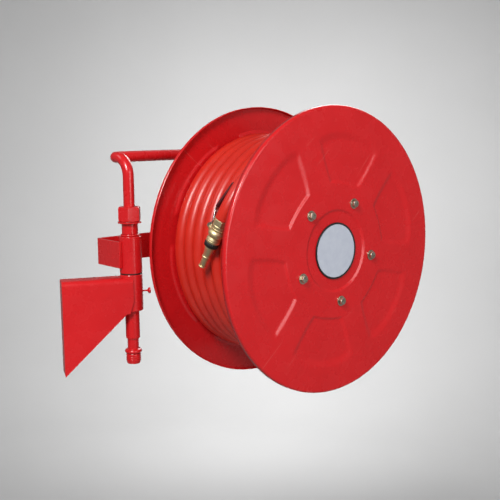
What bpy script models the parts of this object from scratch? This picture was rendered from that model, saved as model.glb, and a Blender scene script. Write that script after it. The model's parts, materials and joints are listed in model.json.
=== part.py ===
"""A swinging fire hose reel on a wall bracket, built as separate parts.

Metres, +Z up. The origin is on the wall, at the middle of the wall plate's back face. The wall is the
plane y = 0 and the reel stands out from it along -Y. The reel arm turns about a vertical pivot tube, and
the drum turns on a hollow spindle that the arm holds.

Two empties carry the moving parts. The swing frame stands on the pivot axis: its -Y runs out along the
arm and its -X is the drum's front. The drum frame is its child, on the drum's axis: X runs out along the
arm, Y is up and Z points to the front.
"""

import math

import bmesh
import bpy
from mathutils import Matrix, Vector
from mathutils.geometry import interpolate_bezier

# Driving dimensions -------------------------------------------------------------------------------
GAP = 0.0003  # between pieces that touch
RUN = 0.0006  # radial clearance of a running fit

# Drum
DISC_R = 0.275
DISC_GAP = 0.2286  # between the outer faces of the two discs
SHEET = 0.0015
LIP_DEPTH = 0.010
LIP_R = 0.004
CORE_R = 0.1254
RECESS_DEPTH = 0.0025
RIM_LAND = 0.047  # from the disc's edge in to the panels
CORE_LAND = 0.0016  # from the core's face out to the panels
RECESS_LAND = 0.022  # from the bolt circle in to the sunk centre
SLOPE = 0.006  # width of a pressed step
SPOKE_HALF_W = 0.028
PANEL_COUNT = 6
PANEL_PHASE = math.radians(-10)  # turn of the spokes from the arm
BOLT_INSET = 0.0259  # from the core's face in to the bolt circle
BOLT_COUNT = 5
BOLT_PHASE = math.radians(-10.5)
HUB_PLATE_T = 0.004
LABEL_T = 0.0015
LABEL_LAND = 0.020  # flat metal between the label's ring and the recess's step

# Hose
HOSE_D = 0.027
LAYERS = 4
OPEN_TURNS = 2  # the last layer stops this far short of the front disc

# Spindle and pivot
SPINDLE_R = 0.0135
SPINDLE_WALL = 0.004
SPINDLE_NUT_WALL = 0.0045
SPINDLE_NUT_H = 0.012
SPINDLE_WASHER_WALL = 0.0075
SPINDLE_WASHER_T = 0.0025
SPINDLE_TAIL = 0.016  # past the strap's back
SPINDLE_BLIND = 0.030  # the solid front end
BUSH_WALL = 0.003
BUSH_L = 0.012
HUB_WALL = 0.006
HUB_TAIL = 0.012  # past the back disc's face
BLOCK_WALL = 0.0105
BLOCK_BOSS_R = 0.016
BLOCK_BOSS_H = 0.012
BLOCK_NUT_AF = 0.034
BLOCK_NUT_H = 0.020
PIVOT_R = 0.0212
RISER_R = 0.01345
RISER_WALL = 0.0026
RISER_TAIL = 0.014  # past the top of the sleeve
SLEEVE_L = 0.070
SEAM_GAP = 0.0024  # between the lower tube and the sleeve, filled by the thrust washer
SEAM_Z = -0.037
SLEEVE_RING_WALL = 0.00375
SLEEVE_RING_H = 0.0035
NECK_WALL = 0.00115
FLANGE_R = 0.0222
FLANGE_H = 0.0035
RIM_CLEARANCE = 0.0068  # from the pivot sleeve out to the discs' edges
STRAP_SPACE = 0.0977  # from the back disc's face back to the strap's middle
PIVOT_SPACE = 0.0187  # from the back disc's face back to the pivot axis
STRAP_H = 0.050
STRAP_T = 0.006
STRAP_BEND_R = 0.010
FEED_R = 0.0105
FEED_SPACE = 0.0727  # from the back disc's face back to the feed pipe's run
FEED_Z = 0.181
FEED_BEND_R = 0.034
UNION_AF = 0.039

# Bracket
PIVOT_OUT = 0.132  # from the wall to the pivot axis
PLATE_T = 0.005
BRACKET_SHEET = 0.003
BRACKET_H = 0.180  # at the wall
BRACKET_TIP_H = 0.068  # at the pivot tube
BRACKET_DROP = 0.005  # from the top of the lower tube to the top of the bracket
BRACKET_FOLD_R = 0.005
BRACKET_TIP_FLAT = 0.006
BRACKET_FACE_H = 0.045  # of the straight edge beside the pivot tube
ANCHOR_SPACING = 0.110
ANCHOR_HOLE_R = 0.0055
ANCHOR_SHANK_R = 0.005
ANCHOR_WASHER_R = 0.0105
ANCHOR_WASHER_T = 0.002
ANCHOR_AF = 0.017
ANCHOR_HEAD = 0.007

# Levels on the pivot, from the drum axis, and small parts
LOCK_Z = -0.0725
RISER_BOTTOM = -0.1625
COLLAR_Z = -0.1880
INLET_BOTTOM = -0.2120
INLET_NECK_R = 0.0106
INLET_WALL = 0.0024
COLLAR_R = 0.0162
COLLAR_HALF = 0.0048
BEAD_R = 0.004
THREAD_R = 0.0140
THREAD_DEPTH = 0.0009
THREAD_TURNS = 4
NUT_BOTTOM = 0.0620
NUT_TOP = 0.0900
FRONT_SPACE = 0.024  # from the front disc's face back to the end of the hub tube
OUTLET_R = 0.0135
OUTLET_PIPE_R = 0.010
OUTLET_BORE_R = 0.0075
OUTLET_HEAD_L = 0.015
SPINDLE_PORT_R = 0.006
BOLT_R = 0.0040
BOLT_AF = 0.013
BOLT_HEAD = 0.0055
WASHER_R = 0.0100
WASHER_T = 0.0016
FERRULE_AF = 0.026
VALVE_R = 0.0145
VALVE_END_R = 0.0130
VALVE_STEM_R = 0.0065
VALVE_TOP = 0.0210  # from the valve's middle to the end of its stem
FERRULE_L = 0.0120
VALVE_L = 0.0375
NOZZLE_RING_R = 0.0135
NOZZLE_RING_L = 0.0090
JET_BORE = 0.0035
LEVER_W = 0.010
LEVER_T = 0.0025
LEVER_L = 0.088
LEVER_CRANK = 0.014
LEVER_BEND_R = 0.006
LEVER_LEAN = math.radians(15)  # how far the lever leans to the drum from the nozzle's line
GRIP_L = 0.056
GRIP_WALL = 0.002
DISC_STEPS = 48
DRUM_STEPS = 40  # the same on the core and what fits it, so their facets line up

REST_SWING = math.radians(24)

# Derived sizes ------------------------------------------------------------------------------------
DRUM_HALF = DISC_GAP / 2
PANEL_INNER_R = CORE_R + CORE_LAND
PANEL_OUTER_R = DISC_R - RIM_LAND
BOLT_CIRCLE_R = CORE_R - BOLT_INSET
CENTRE_RECESS_R = BOLT_CIRCLE_R - RECESS_LAND
LABEL_R = CENTRE_RECESS_R - SLOPE / 2 - LABEL_LAND
ARM_PLANE = DRUM_HALF + STRAP_SPACE  # from the drum's middle back to the strap's middle
ARM_REACH = DISC_R + PIVOT_R + RIM_CLEARANCE  # from the pivot axis out to the drum's axis
DRUM_OFFSET = DRUM_HALF + PIVOT_SPACE  # from the pivot axis forward to the drum's middle
FEED_PLANE = DRUM_HALF + FEED_SPACE  # from the drum's middle back to the feed pipe's run
HOSE_R = HOSE_D / 2
INNER_W = DISC_GAP - 2 * SHEET - 2 * RECESS_DEPTH
TURNS_ACROSS = int(INNER_W / HOSE_D)
TURN_PITCH = INNER_W / TURNS_ACROSS
LAYER_PITCH = math.sqrt(HOSE_D**2 - (TURN_PITCH / 2) ** 2)
PACK_R = CORE_R + HOSE_D + (LAYERS - 1) * LAYER_PITCH
LOW_PACK_R = PACK_R - HOSE_D - 2 * GAP  # where the last layer leaves room for the free end
PACK_HALF = INNER_W / 2 - GAP
PACK_STEP = INNER_W / 2 - OPEN_TURNS * TURN_PITCH + HOSE_R / 4
HUB_BORE = SPINDLE_R + RUN + BUSH_WALL + GAP
HUB_R = HUB_BORE + HUB_WALL
BLOCK_R = SPINDLE_R + BLOCK_WALL
SPINDLE_NUT_AF = 2 * (SPINDLE_R + SPINDLE_NUT_WALL)
SLEEVE_TOP = SEAM_Z + SEAM_GAP / 2 + SLEEVE_L
TUBE_TOP = SEAM_Z - SEAM_GAP / 2
TUBE_BOTTOM = TUBE_TOP - SLEEVE_L
BRACKET_TOP = TUBE_TOP - BRACKET_DROP
WALL_CENTRE = BRACKET_TOP - BRACKET_H / 2
AXIS_Z = -WALL_CENTRE  # height of the drum's axis above the origin

SPINDLE_END = DRUM_HALF - 0.007
OUTLET_A = DRUM_HALF - FRONT_SPACE - 2 * GAP - BUSH_L - OUTLET_PIPE_R  # just behind the front bush

FACING = (math.radians(90), 0, math.radians(-90))  # turns an empty's Z to the drum's front and its Y up
ACROSS = (math.radians(-90), 0, 0)  # turns a piece's Z to its parent's Y
PARTS = "fire_hose_reel"
CUTTERS = "fire_hose_reel_cutters"


def clear_scene():
    for item in list(bpy.data.objects):
        bpy.data.objects.remove(item, do_unlink=True)


def collection(name):
    made = bpy.data.collections.get(name) or bpy.data.collections.new(name)
    if made.name not in bpy.context.scene.collection.children:
        bpy.context.scene.collection.children.link(made)
    return made


def paint(name, colour, roughness, metallic):
    made = bpy.data.materials.get(name) or bpy.data.materials.new(name)
    made.use_nodes = True
    made.diffuse_color = (*colour, 1)
    shader = made.node_tree.nodes["Principled BSDF"]
    shader.inputs["Base Color"].default_value = (*colour, 1)
    shader.inputs["Roughness"].default_value = roughness
    shader.inputs["Metallic"].default_value = metallic
    return made


FINISHES = {
    "red": ((0.50, 0.012, 0.012), 0.3, 0.0),
    "hose": ((0.62, 0.035, 0.022), 0.42, 0.0),
    "zinc": ((0.62, 0.58, 0.50), 0.35, 1.0),
    "brass": ((0.72, 0.52, 0.24), 0.3, 1.0),
    "bronze": ((0.52, 0.33, 0.16), 0.4, 1.0),
    "steel": ((0.55, 0.55, 0.56), 0.3, 1.0),
    "black": ((0.012, 0.012, 0.012), 0.6, 0.0),
    "wine": ((0.12, 0.008, 0.012), 0.5, 0.0),
    "label": ((0.70, 0.74, 0.74), 0.4, 0.0),
    "nylon": ((0.75, 0.74, 0.70), 0.5, 0.0),
}


def empty(name, parent, place, turn):
    made = bpy.data.objects.new(name, None)
    collection(PARTS).objects.link(made)
    made.parent = parent
    made.location = place
    made.rotation_euler = turn
    return made


def add(name, mesh, finish, parent=None, place=(0, 0, 0), turn=(0, 0, 0), into=PARTS):
    made = bpy.data.objects.new(name, mesh)
    collection(into).objects.link(made)
    made.parent = parent
    made.location = place
    made.rotation_euler = turn
    if finish:
        colour, roughness, metallic = FINISHES[finish]
        mesh.materials.append(paint(name, colour, roughness, metallic))
    return made


def smooth(item, degrees=35):
    item.data.shade_smooth()
    item.data.set_sharp_from_angle(angle=math.radians(degrees))


def baked(item):
    """Replaces an object's mesh by its modified one, so that its points can be edited."""
    bpy.context.view_layer.update()
    seen = item.evaluated_get(bpy.context.evaluated_depsgraph_get())
    mesh = bpy.data.meshes.new_from_object(seen)
    item.modifiers.clear()
    item.data = mesh
    return item


def turned(name, profile, finish, steps=24, closed=False, **where):
    """A solid of revolution about local Z. The profile (radius, height) runs down its outer side."""
    mesh = bpy.data.meshes.new(name)
    shape = bmesh.new()
    points = [shape.verts.new((r, 0, z)) for r, z in profile]
    for a, b in zip(points, points[1:]):
        shape.edges.new((a, b))
    if closed:
        shape.edges.new((points[-1], points[0]))
    shape.to_mesh(mesh)
    shape.free()
    item = add(name, mesh, finish, **where)
    screw = item.modifiers.new("turn", "SCREW")
    screw.steps = steps
    screw.render_steps = steps
    screw.use_merge_vertices = True
    screw.merge_threshold = 0.00001
    baked(item)
    smooth(item)
    return item


def ring(name, inner, outer, low, high, finish, steps=24, chamfer=0.0, **where):
    """A tube with chamfered outer edges."""
    c = chamfer
    rim = [(outer - c, high), (outer, high - c), (outer, low + c), (outer - c, low)] if c else [
        (outer, high),
        (outer, low),
    ]
    return turned(name, rim + [(inner, low), (inner, high)], finish, steps, True, **where)


def solid(name, profile, finish, steps=24, **where):
    """A full turned solid: the profile's ends are closed on the axis."""
    ends = [(0, profile[0][1])] + list(profile) + [(0, profile[-1][1])]
    return turned(name, ends, finish, steps, False, **where)


def box(name, size, finish, bevel=0.0, **where):
    shape = bmesh.new()
    bmesh.ops.create_cube(shape, size=1, matrix=Matrix.Diagonal((*size, 1)))
    mesh = bpy.data.meshes.new(name)
    shape.to_mesh(mesh)
    shape.free()
    item = add(name, mesh, finish, **where)
    if bevel:
        edge = item.modifiers.new("edges", "BEVEL")
        edge.width = bevel
        edge.segments = 2
    return item


def cut(item, tool, how="DIFFERENCE"):
    """Cuts item by tool, which stays in the cutters' collection."""
    tool.hide_render = True
    tool.display_type = "WIRE"
    step = item.modifiers.new(how.lower() + "_" + tool.name, "BOOLEAN")
    step.operation = how
    step.object = tool
    step.solver = "EXACT"


def hexagon(name, flats, low, high, bore, finish, chamfered=True, **where):
    """A hexagonal prism with a bore, or none, and its corners turned down if it is a large nut."""
    corner = flats / math.sqrt(3)
    shape = bmesh.new()
    bmesh.ops.create_cone(
        shape,
        cap_ends=True,
        segments=6,
        radius1=corner,
        radius2=corner,
        depth=high - low,
        matrix=Matrix.Translation((0, 0, (low + high) / 2)),
    )
    mesh = bpy.data.meshes.new(name)
    shape.to_mesh(mesh)
    shape.free()
    item = add(name, mesh, finish, **where)
    if chamfered:
        slope = (corner - flats / 2) * math.tan(math.radians(30))
        shape = [(flats / 2, high), (corner, high - slope), (corner, low + slope), (flats / 2, low)]
        cut(item, solid(name + "_chamfer", shape, None, 12, into=CUTTERS, **where), "INTERSECT")
    if bore:
        hole = solid(name + "_bore", [(bore, high + 0.01), (bore, low - 0.01)], None, 20, into=CUTTERS,
                     **where)
        cut(item, hole)
    return item


def rounded(points, radius, steps=8):
    """The polyline through points with its corners rounded by arcs; the ends stay."""
    out = [Vector(points[0])]
    for a, b, c in zip(points, points[1:], points[2:]):
        a, b, c = Vector(a), Vector(b), Vector(c)
        into, away = (a - b).normalized(), (c - b).normalized()
        half = into.angle(away) / 2
        reach = radius / math.tan(half)
        centre = b + (into + away).normalized() * radius / math.sin(half)
        first = (b + into * reach - centre).normalized()
        last = (b + away * reach - centre).normalized()
        for k in range(steps + 1):
            out.append(centre + first.slerp(last, k / steps) * radius)
    out.append(Vector(points[-1]))
    return out


def tube(name, points, radius, finish, resolution=3, **where):
    """A round bar along a polyline, with filled caps welded on."""
    curve = bpy.data.curves.new(name, "CURVE")
    curve.dimensions = "3D"
    curve.bevel_depth = radius
    curve.bevel_resolution = resolution
    curve.use_fill_caps = True
    line = curve.splines.new("POLY")
    line.points.add(len(points) - 1)
    for spot, point in zip(line.points, points):
        spot.co = (*point, 1)
    guide = bpy.data.objects.new(name + "_line", curve)
    collection(PARTS).objects.link(guide)
    bpy.context.view_layer.update()
    seen = guide.evaluated_get(bpy.context.evaluated_depsgraph_get())
    mesh = bpy.data.meshes.new_from_object(seen)
    bpy.data.objects.remove(guide)
    shape = bmesh.new()
    shape.from_mesh(mesh)
    bmesh.ops.remove_doubles(shape, verts=shape.verts, dist=0.00001)
    shape.to_mesh(mesh)
    shape.free()
    mesh.materials.clear()
    mesh.name = name
    item = add(name, mesh, finish, **where)
    smooth(item, 50)
    return item


def arc(centre, radius, start, end, steps):
    """Points of an arc (radius, height) in a profile, from one angle to another in degrees."""
    angles = [math.radians(start + (end - start) * k / steps) for k in range(steps + 1)]
    return [(centre[0] + radius * math.cos(t), centre[1] + radius * math.sin(t)) for t in angles]


# Bracket ------------------------------------------------------------------------------------------
def make_bracket():
    """The fixed side: wall plate, folded bracket, lower pivot tube and the water inlet."""
    side = PIVOT_R + BRACKET_SHEET
    inner_w = 2 * (side - BRACKET_SHEET - GAP)
    plate_size = (inner_w, PLATE_T, BRACKET_H - 2 * (BRACKET_SHEET + GAP))
    plate = box("wall_plate", plate_size, "red", 0.0, place=(0, -PLATE_T / 2, 0))
    for k, sign in enumerate((1, -1)):
        spot = (0, 0, sign * ANCHOR_SPACING / 2)
        facing = (math.radians(90), 0, 0)
        hole = solid(f"anchor_hole_{k}", [(ANCHOR_HOLE_R, 0.02), (ANCHOR_HOLE_R, -0.02)], None, 20, place=spot,
                     turn=facing, into=CUTTERS)
        cut(plate, hole)
        seat = PLATE_T + ANCHOR_WASHER_T
        ring(f"anchor_washer_{k + 1}", ANCHOR_HOLE_R, ANCHOR_WASHER_R, PLATE_T + GAP, seat, "zinc", 20, place=spot,
             turn=facing)
        make_bolt(f"anchor_bolt_{k + 1}", ANCHOR_AF, ANCHOR_HEAD, seat + GAP, ANCHOR_SHANK_R, 0.0, place=spot,
                  turn=facing)
    make_channel(side)
    pivot = (0, -PIVOT_OUT, AXIS_Z)
    tube_piece = ring("pivot_tube", RISER_R + GAP, PIVOT_R, TUBE_BOTTOM, TUBE_TOP, "red", 40, 0.002, place=pivot)
    reach = PIVOT_R + 0.02
    drill = solid("lock_hole", [(0.0019, reach), (0.0019, 0)], None, 16, place=(0, -PIVOT_OUT, AXIS_Z + LOCK_Z),
                  turn=(math.radians(90), 0, 0), into=CUTTERS)
    cut(tube_piece, drill)
    ring("thrust_washer", RISER_R + RUN, PIVOT_R - 0.0006, TUBE_TOP + GAP, SLEEVE_TOP - SLEEVE_L - GAP, "nylon", 32,
         place=pivot)
    make_inlet(pivot)


def make_channel(side):
    """The folded bracket: a top flange and two side cheeks that taper to the pivot tube."""
    low_tip = BRACKET_TOP - BRACKET_TIP_H
    low_wall = BRACKET_TOP - BRACKET_H
    tip = -PIVOT_OUT + PIVOT_R * 0.35
    outline = [(-GAP, BRACKET_TOP), (-PIVOT_OUT, BRACKET_TOP), (-PIVOT_OUT, BRACKET_TOP - BRACKET_FACE_H),
               (tip, low_tip), (tip + BRACKET_TIP_FLAT, low_tip), (-GAP, low_wall)]
    shape = bmesh.new()
    corners = [shape.verts.new((-side, y, z)) for y, z in outline]
    face = shape.faces.new(corners)
    grown = bmesh.ops.extrude_face_region(shape, geom=[face])
    moved = [v for v in grown["geom"] if isinstance(v, bmesh.types.BMVert)]
    bmesh.ops.translate(shape, verts=moved, vec=(2 * side, 0, 0))
    bmesh.ops.recalc_face_normals(shape, faces=shape.faces)
    mesh = bpy.data.meshes.new("bracket_channel")
    shape.to_mesh(mesh)
    shape.free()
    item = add("bracket_channel", mesh, "red", place=(0, 0, AXIS_Z))
    folds = item.data
    weights = folds.attributes.new("bevel_weight_edge", "FLOAT", "EDGE")
    for edge in folds.edges:
        a, b = (folds.vertices[i].co for i in edge.vertices)
        along_top = abs(a.z - BRACKET_TOP) < 1e-5 and abs(b.z - BRACKET_TOP) < 1e-5
        weights.data[edge.index].value = 1.0 if along_top and abs(a.x - b.x) < 1e-5 else 0.0
    fold = item.modifiers.new("folds", "BEVEL")
    fold.limit_method = "WEIGHT"
    fold.width = BRACKET_FOLD_R
    fold.segments = 4
    hollow = box("bracket_hollow", (2 * (side - BRACKET_SHEET), 1.0, 1.0), None, 0.0,
                 place=(0, 0, AXIS_Z + BRACKET_TOP - BRACKET_SHEET - 0.5), into=CUTTERS)
    cut(item, hollow)
    seat = solid("bracket_seat", [(PIVOT_R + GAP, TUBE_TOP + 0.02), (PIVOT_R + GAP, TUBE_BOTTOM - 0.02)], None, 40,
                 place=(0, -PIVOT_OUT, AXIS_Z), into=CUTTERS)
    cut(item, seat)


def make_inlet(pivot):
    """The water pipe up the middle of the pivot and the threaded inlet under it."""
    ring("riser_pipe", RISER_R - RISER_WALL, RISER_R, RISER_BOTTOM, SLEEVE_TOP + RISER_TAIL, "red", 40, 0.0008,
         place=pivot)
    bore = INLET_NECK_R - INLET_WALL
    top, bottom = RISER_BOTTOM - GAP, COLLAR_Z - COLLAR_HALF
    bead = arc((COLLAR_R - BEAD_R, COLLAR_Z), BEAD_R, 80, -80, 4)
    neck = [(INLET_NECK_R, top), (INLET_NECK_R, COLLAR_Z + COLLAR_HALF)]
    foot = [(COLLAR_R - BEAD_R, bottom), (bore, bottom), (bore, top)]
    turned("inlet_collar", neck + bead + foot, "red", 24, True, place=pivot)
    root = THREAD_R - THREAD_DEPTH
    first = bottom - 0.0017
    pitch = (first - INLET_BOTTOM - 0.003) / THREAD_TURNS
    thread = [(root, bottom - GAP)]
    for k in range(THREAD_TURNS):
        thread += [(THREAD_R, first - k * pitch), (THREAD_R, first - (k + 0.35) * pitch),
                   (root, first - (k + 0.7) * pitch)]
    thread += [(root, INLET_BOTTOM + 0.002), (root - THREAD_DEPTH, INLET_BOTTOM), (bore, INLET_BOTTOM)]
    turned("inlet_nipple", thread + [(bore, bottom - GAP)], "red", 24, True, place=pivot)


def make_bolt(name, flats, head, seat, shank_r, end, **where):
    """A hexagon-head bolt along local Z: the head stands on `seat`, the shank runs down to `end`."""
    item = hexagon(name, flats, seat, seat + head, 0, "zinc", False, **where)
    shank = solid(name + "_shank", [(shank_r, seat + head / 2), (shank_r, end)], None, 12, into=CUTTERS, **where)
    cut(item, shank, "UNION")
    return item


# Arm ----------------------------------------------------------------------------------------------
def arm_point(forward, out, up):
    """A place in the swing frame: forward along the drum's axis, out along the arm, up."""
    return (-forward, -out, up)


def make_arm(swing):
    """The swinging side: sleeve, strap, union, feed pipe, water block and spindle."""
    ring("pivot_sleeve", RISER_R + RUN, PIVOT_R, SEAM_Z + SEAM_GAP / 2, SLEEVE_TOP, "red", 40, 0.0015, parent=swing)
    bore = RISER_R + RUN
    low = SLEEVE_TOP + GAP
    mid = low + SLEEVE_RING_H
    neck_top = NUT_BOTTOM - FLANGE_H
    ring("sleeve_ring", bore, bore + SLEEVE_RING_WALL, low, mid, "red", 28, 0.001, parent=swing)
    ring("swivel_neck", bore, bore + NECK_WALL, mid + GAP, neck_top, "red", 28, NECK_WALL / 2, parent=swing)
    ring("union_flange", FEED_R + GAP, FLANGE_R, neck_top + GAP, NUT_BOTTOM - GAP, "red", 28, 0.0008, parent=swing)
    hexagon("union_nut", UNION_AF, NUT_BOTTOM, NUT_TOP, FEED_R + GAP, "red", parent=swing)
    make_strap(swing)
    block = arm_point(DRUM_OFFSET - FEED_PLANE, ARM_REACH, 0)
    block_top = BLOCK_R + BLOCK_BOSS_H
    route = [(0, 0, neck_top + 0.002), (0, 0, FEED_Z), arm_point(DRUM_OFFSET - FEED_PLANE, 0, FEED_Z),
             arm_point(DRUM_OFFSET - FEED_PLANE, ARM_REACH, FEED_Z), (block[0], block[1], block_top + 0.004)]
    first = rounded(route[:3], FEED_BEND_R, 8)[:-1]
    corner = rounded([first[-1], *route[2:]], 0.018, 6)
    tube("feed_pipe", first[:-1] + corner, FEED_R, "red", 3, parent=swing)
    make_spindle(swing, block, block_top)


def make_strap(swing):
    """The flat strap: a leg back from the sleeve, a bend, and the run out to the spindle."""
    leg = -(PIVOT_R + GAP + STRAP_T / 2)
    back = DRUM_OFFSET - ARM_PLANE
    line = rounded([arm_point(0.004, leg, 0), arm_point(back, leg, 0), arm_point(back, ARM_REACH + 0.045, 0)],
                   STRAP_BEND_R, 8)
    shape = bmesh.new()
    row = [shape.verts.new((p.x, p.y, -STRAP_H / 2)) for p in line]
    edges = [shape.edges.new(pair) for pair in zip(row, row[1:])]
    grown = bmesh.ops.extrude_edge_only(shape, edges=edges)
    moved = [v for v in grown["geom"] if isinstance(v, bmesh.types.BMVert)]
    bmesh.ops.translate(shape, verts=moved, vec=(0, 0, STRAP_H))
    mesh = bpy.data.meshes.new("arm_strap")
    shape.to_mesh(mesh)
    shape.free()
    item = add("arm_strap", mesh, "red", parent=swing)
    thick = item.modifiers.new("thickness", "SOLIDIFY")
    thick.thickness = STRAP_T
    thick.offset = 0
    thick.use_even_offset = True
    soft = item.modifiers.new("edges", "BEVEL")
    soft.width = 0.0008
    soft.segments = 1
    soft.limit_method = "ANGLE"
    soft.angle_limit = math.radians(50)
    bore = solid("strap_bore", [(SPINDLE_R + GAP, 0.02), (SPINDLE_R + GAP, -0.02)], None, 32, parent=swing,
                 place=arm_point(back, ARM_REACH, 0), turn=(0, math.radians(-90), 0), into=CUTTERS)
    cut(item, bore)


def make_spindle(swing, block, block_top):
    """The hollow spindle, the water block that feeds it, and their nuts."""
    axle = empty("spindle_axis", swing, arm_point(DRUM_OFFSET, ARM_REACH, 0), FACING)
    strap_back = -ARM_PLANE - STRAP_T / 2
    strap_front = -ARM_PLANE + STRAP_T / 2
    back_end = strap_back - SPINDLE_TAIL
    bore = SPINDLE_R - SPINDLE_WALL
    bore_end = SPINDLE_END - SPINDLE_BLIND
    rod = turned("spindle", [(0, SPINDLE_END), (SPINDLE_R - 0.001, SPINDLE_END), (SPINDLE_R, SPINDLE_END - 0.001),
                             (SPINDLE_R, back_end + 0.001), (SPINDLE_R - 0.001, back_end), (bore, back_end),
                             (bore, bore_end), (0, bore_end)], "steel", 32, parent=axle)
    port = solid("spindle_port", [(SPINDLE_PORT_R, SPINDLE_R + 0.01), (SPINDLE_PORT_R, 0)], None, 16, parent=axle,
                 place=(0, 0, OUTLET_A), turn=ACROSS, into=CUTTERS)
    cut(rod, port)
    bore_r = SPINDLE_R + GAP
    hexagon("spindle_nut_back", SPINDLE_NUT_AF, strap_back - SPINDLE_NUT_H, strap_back - GAP, bore_r, "zinc",
            parent=axle)
    washer_low = DRUM_HALF - FRONT_SPACE
    washer_top = washer_low + SPINDLE_WASHER_T
    ring("spindle_washer", bore_r, SPINDLE_R + SPINDLE_WASHER_WALL, washer_low, washer_top, "zinc", 24, parent=axle)
    hexagon("spindle_nut_front", SPINDLE_NUT_AF, washer_top + GAP, washer_top + SPINDLE_NUT_H, bore_r, "zinc",
            parent=axle)
    half = FEED_PLANE - (ARM_PLANE - STRAP_T / 2 - GAP)
    body = ring("water_block", bore_r, BLOCK_R, strap_front + GAP, -FEED_PLANE - half, "red", 28, 0.0015,
                parent=axle)
    boss = solid("block_boss", [(BLOCK_BOSS_R, block_top), (BLOCK_BOSS_R, 0)], None, 20, parent=swing,
                 place=block, into=CUTTERS)
    cut(body, boss, "UNION")
    through = solid("block_through", [(bore_r, 0.05), (bore_r, -0.05)], None, 24, parent=axle,
                    place=(0, 0, -FEED_PLANE), into=CUTTERS)
    cut(body, through)
    socket = solid("block_socket", [(FEED_R + GAP, block_top + 0.01), (FEED_R + GAP, block_top - 0.001)], None, 20,
                   parent=swing, place=block, into=CUTTERS)
    cut(body, socket)
    hexagon("block_nut", BLOCK_NUT_AF, block_top + GAP, block_top + BLOCK_NUT_H, FEED_R + GAP, "red",
            parent=swing, place=block)


# Drum ---------------------------------------------------------------------------------------------
def step_up(value, low, high):
    """0 below low, 1 above high, and a smooth rise between."""
    t = min(1.0, max(0.0, (value - low) / (high - low)))
    return t * t * (3 - 2 * t)


def panel_depth(x, y, phase):
    """How far the pressed panels are sunk at a place on the disc."""
    r, around = math.hypot(x, y), math.atan2(y, x) - phase
    sector = math.radians(360 / PANEL_COUNT)
    from_spoke = around - sector * round(around / sector)
    beside = step_up(abs(r * math.sin(from_spoke)), SPOKE_HALF_W - SLOPE / 2, SPOKE_HALF_W + SLOPE / 2)
    inner = step_up(r, PANEL_INNER_R, PANEL_INNER_R + SLOPE)
    outer = 1 - step_up(r, PANEL_OUTER_R - SLOPE, PANEL_OUTER_R)
    return RECESS_DEPTH * beside * inner * outer


def make_disc(drum, name, hole, facing):
    """A pressed disc: rolled lip, sunk centre and six sunk panels between flat spokes."""
    face, sunk = DRUM_HALF, DRUM_HALF - RECESS_DEPTH
    rings = [(CENTRE_RECESS_R - SLOPE / 2, sunk), (CENTRE_RECESS_R + SLOPE / 2, face), (PANEL_INNER_R, face),
             (PANEL_INNER_R + SLOPE, face), (PANEL_OUTER_R - SLOPE, face), (PANEL_OUTER_R, face)]
    start = [(hole, sunk)] if hole else [(0, sunk)]
    lip = arc((DISC_R - LIP_R, face - LIP_R), LIP_R, 90, 0, 2) + [(DISC_R, face - LIP_DEPTH)]
    item = turned(name, start + rings + lip, "red", DISC_STEPS, parent=drum)
    for point in item.data.vertices:
        if point.co.z > face - RECESS_DEPTH / 2:
            point.co.z -= panel_depth(point.co.x, point.co.y, facing * PANEL_PHASE)
    if facing < 0:
        item.data.transform(Matrix.Rotation(math.pi, 4, "X"))
    thick = item.modifiers.new("thickness", "SOLIDIFY")
    thick.thickness = SHEET
    thick.offset = -1
    thick.use_even_offset = True
    return item


def bolt_places(facing):
    for k in range(BOLT_COUNT):
        t = BOLT_PHASE + k * math.tau / BOLT_COUNT
        place = Vector((BOLT_CIRCLE_R * math.cos(t), BOLT_CIRCLE_R * math.sin(t), 0))
        yield k, place, (0 if facing > 0 else math.pi)


def make_drum(drum):
    """The turning side: discs, core, hub, bolts and the centre label."""
    inside = DRUM_HALF - SHEET - GAP
    plate_low = inside - HUB_PLATE_T
    for side, facing, hole in (("front", 1, 0), ("back", -1, HUB_R + GAP)):
        disc = make_disc(drum, f"{side}_disc", hole, facing)
        turn = (0 if facing > 0 else math.pi, 0, 0)
        plate = ring(f"hub_plate_{side}", HUB_R + GAP, CORE_R - SHEET - GAP, plate_low, inside, "red", DRUM_STEPS,
                     parent=drum, turn=turn)
        dish = solid(f"plate_dish_{side}", [(CENTRE_RECESS_R + 0.005, inside + 0.01),
                                            (CENTRE_RECESS_R + 0.005, inside - RECESS_DEPTH)], None, DRUM_STEPS,
                     parent=drum, turn=turn, into=CUTTERS)
        cut(plate, dish)
        for k, place, flip in bolt_places(facing):
            name = f"{side}_{k + 1}"
            where = {"parent": drum, "place": place, "turn": (flip, 0, 0)}
            drill = solid(f"drill_{name}", [(BOLT_R + GAP, DRUM_HALF + 0.01), (BOLT_R + GAP, plate_low - 0.01)], None,
                          16, into=CUTTERS, **where)
            cut(disc, drill)
            cut(plate, drill)
            seat = DRUM_HALF + GAP
            if facing > 0:
                ring(f"washer_{name}", BOLT_R + GAP, WASHER_R, seat, seat + WASHER_T, "zinc", 20, **where)
                seat += WASHER_T + GAP
            make_bolt(f"bolt_{name}", BOLT_AF, BOLT_HEAD, seat, BOLT_R, plate_low - 0.003, **where)
    make_core(drum, plate_low)
    make_hub(drum)
    label_low = DRUM_HALF - RECESS_DEPTH + GAP
    solid("label_plate", [(LABEL_R - 0.0035, label_low + LABEL_T), (LABEL_R - 0.0035, label_low)], "label", 40,
          parent=drum)
    ring("label_ring", LABEL_R - 0.0035 + GAP, LABEL_R, label_low, label_low + LABEL_T + 0.0006, "black", 40, 0.0,
         parent=drum)


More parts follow.
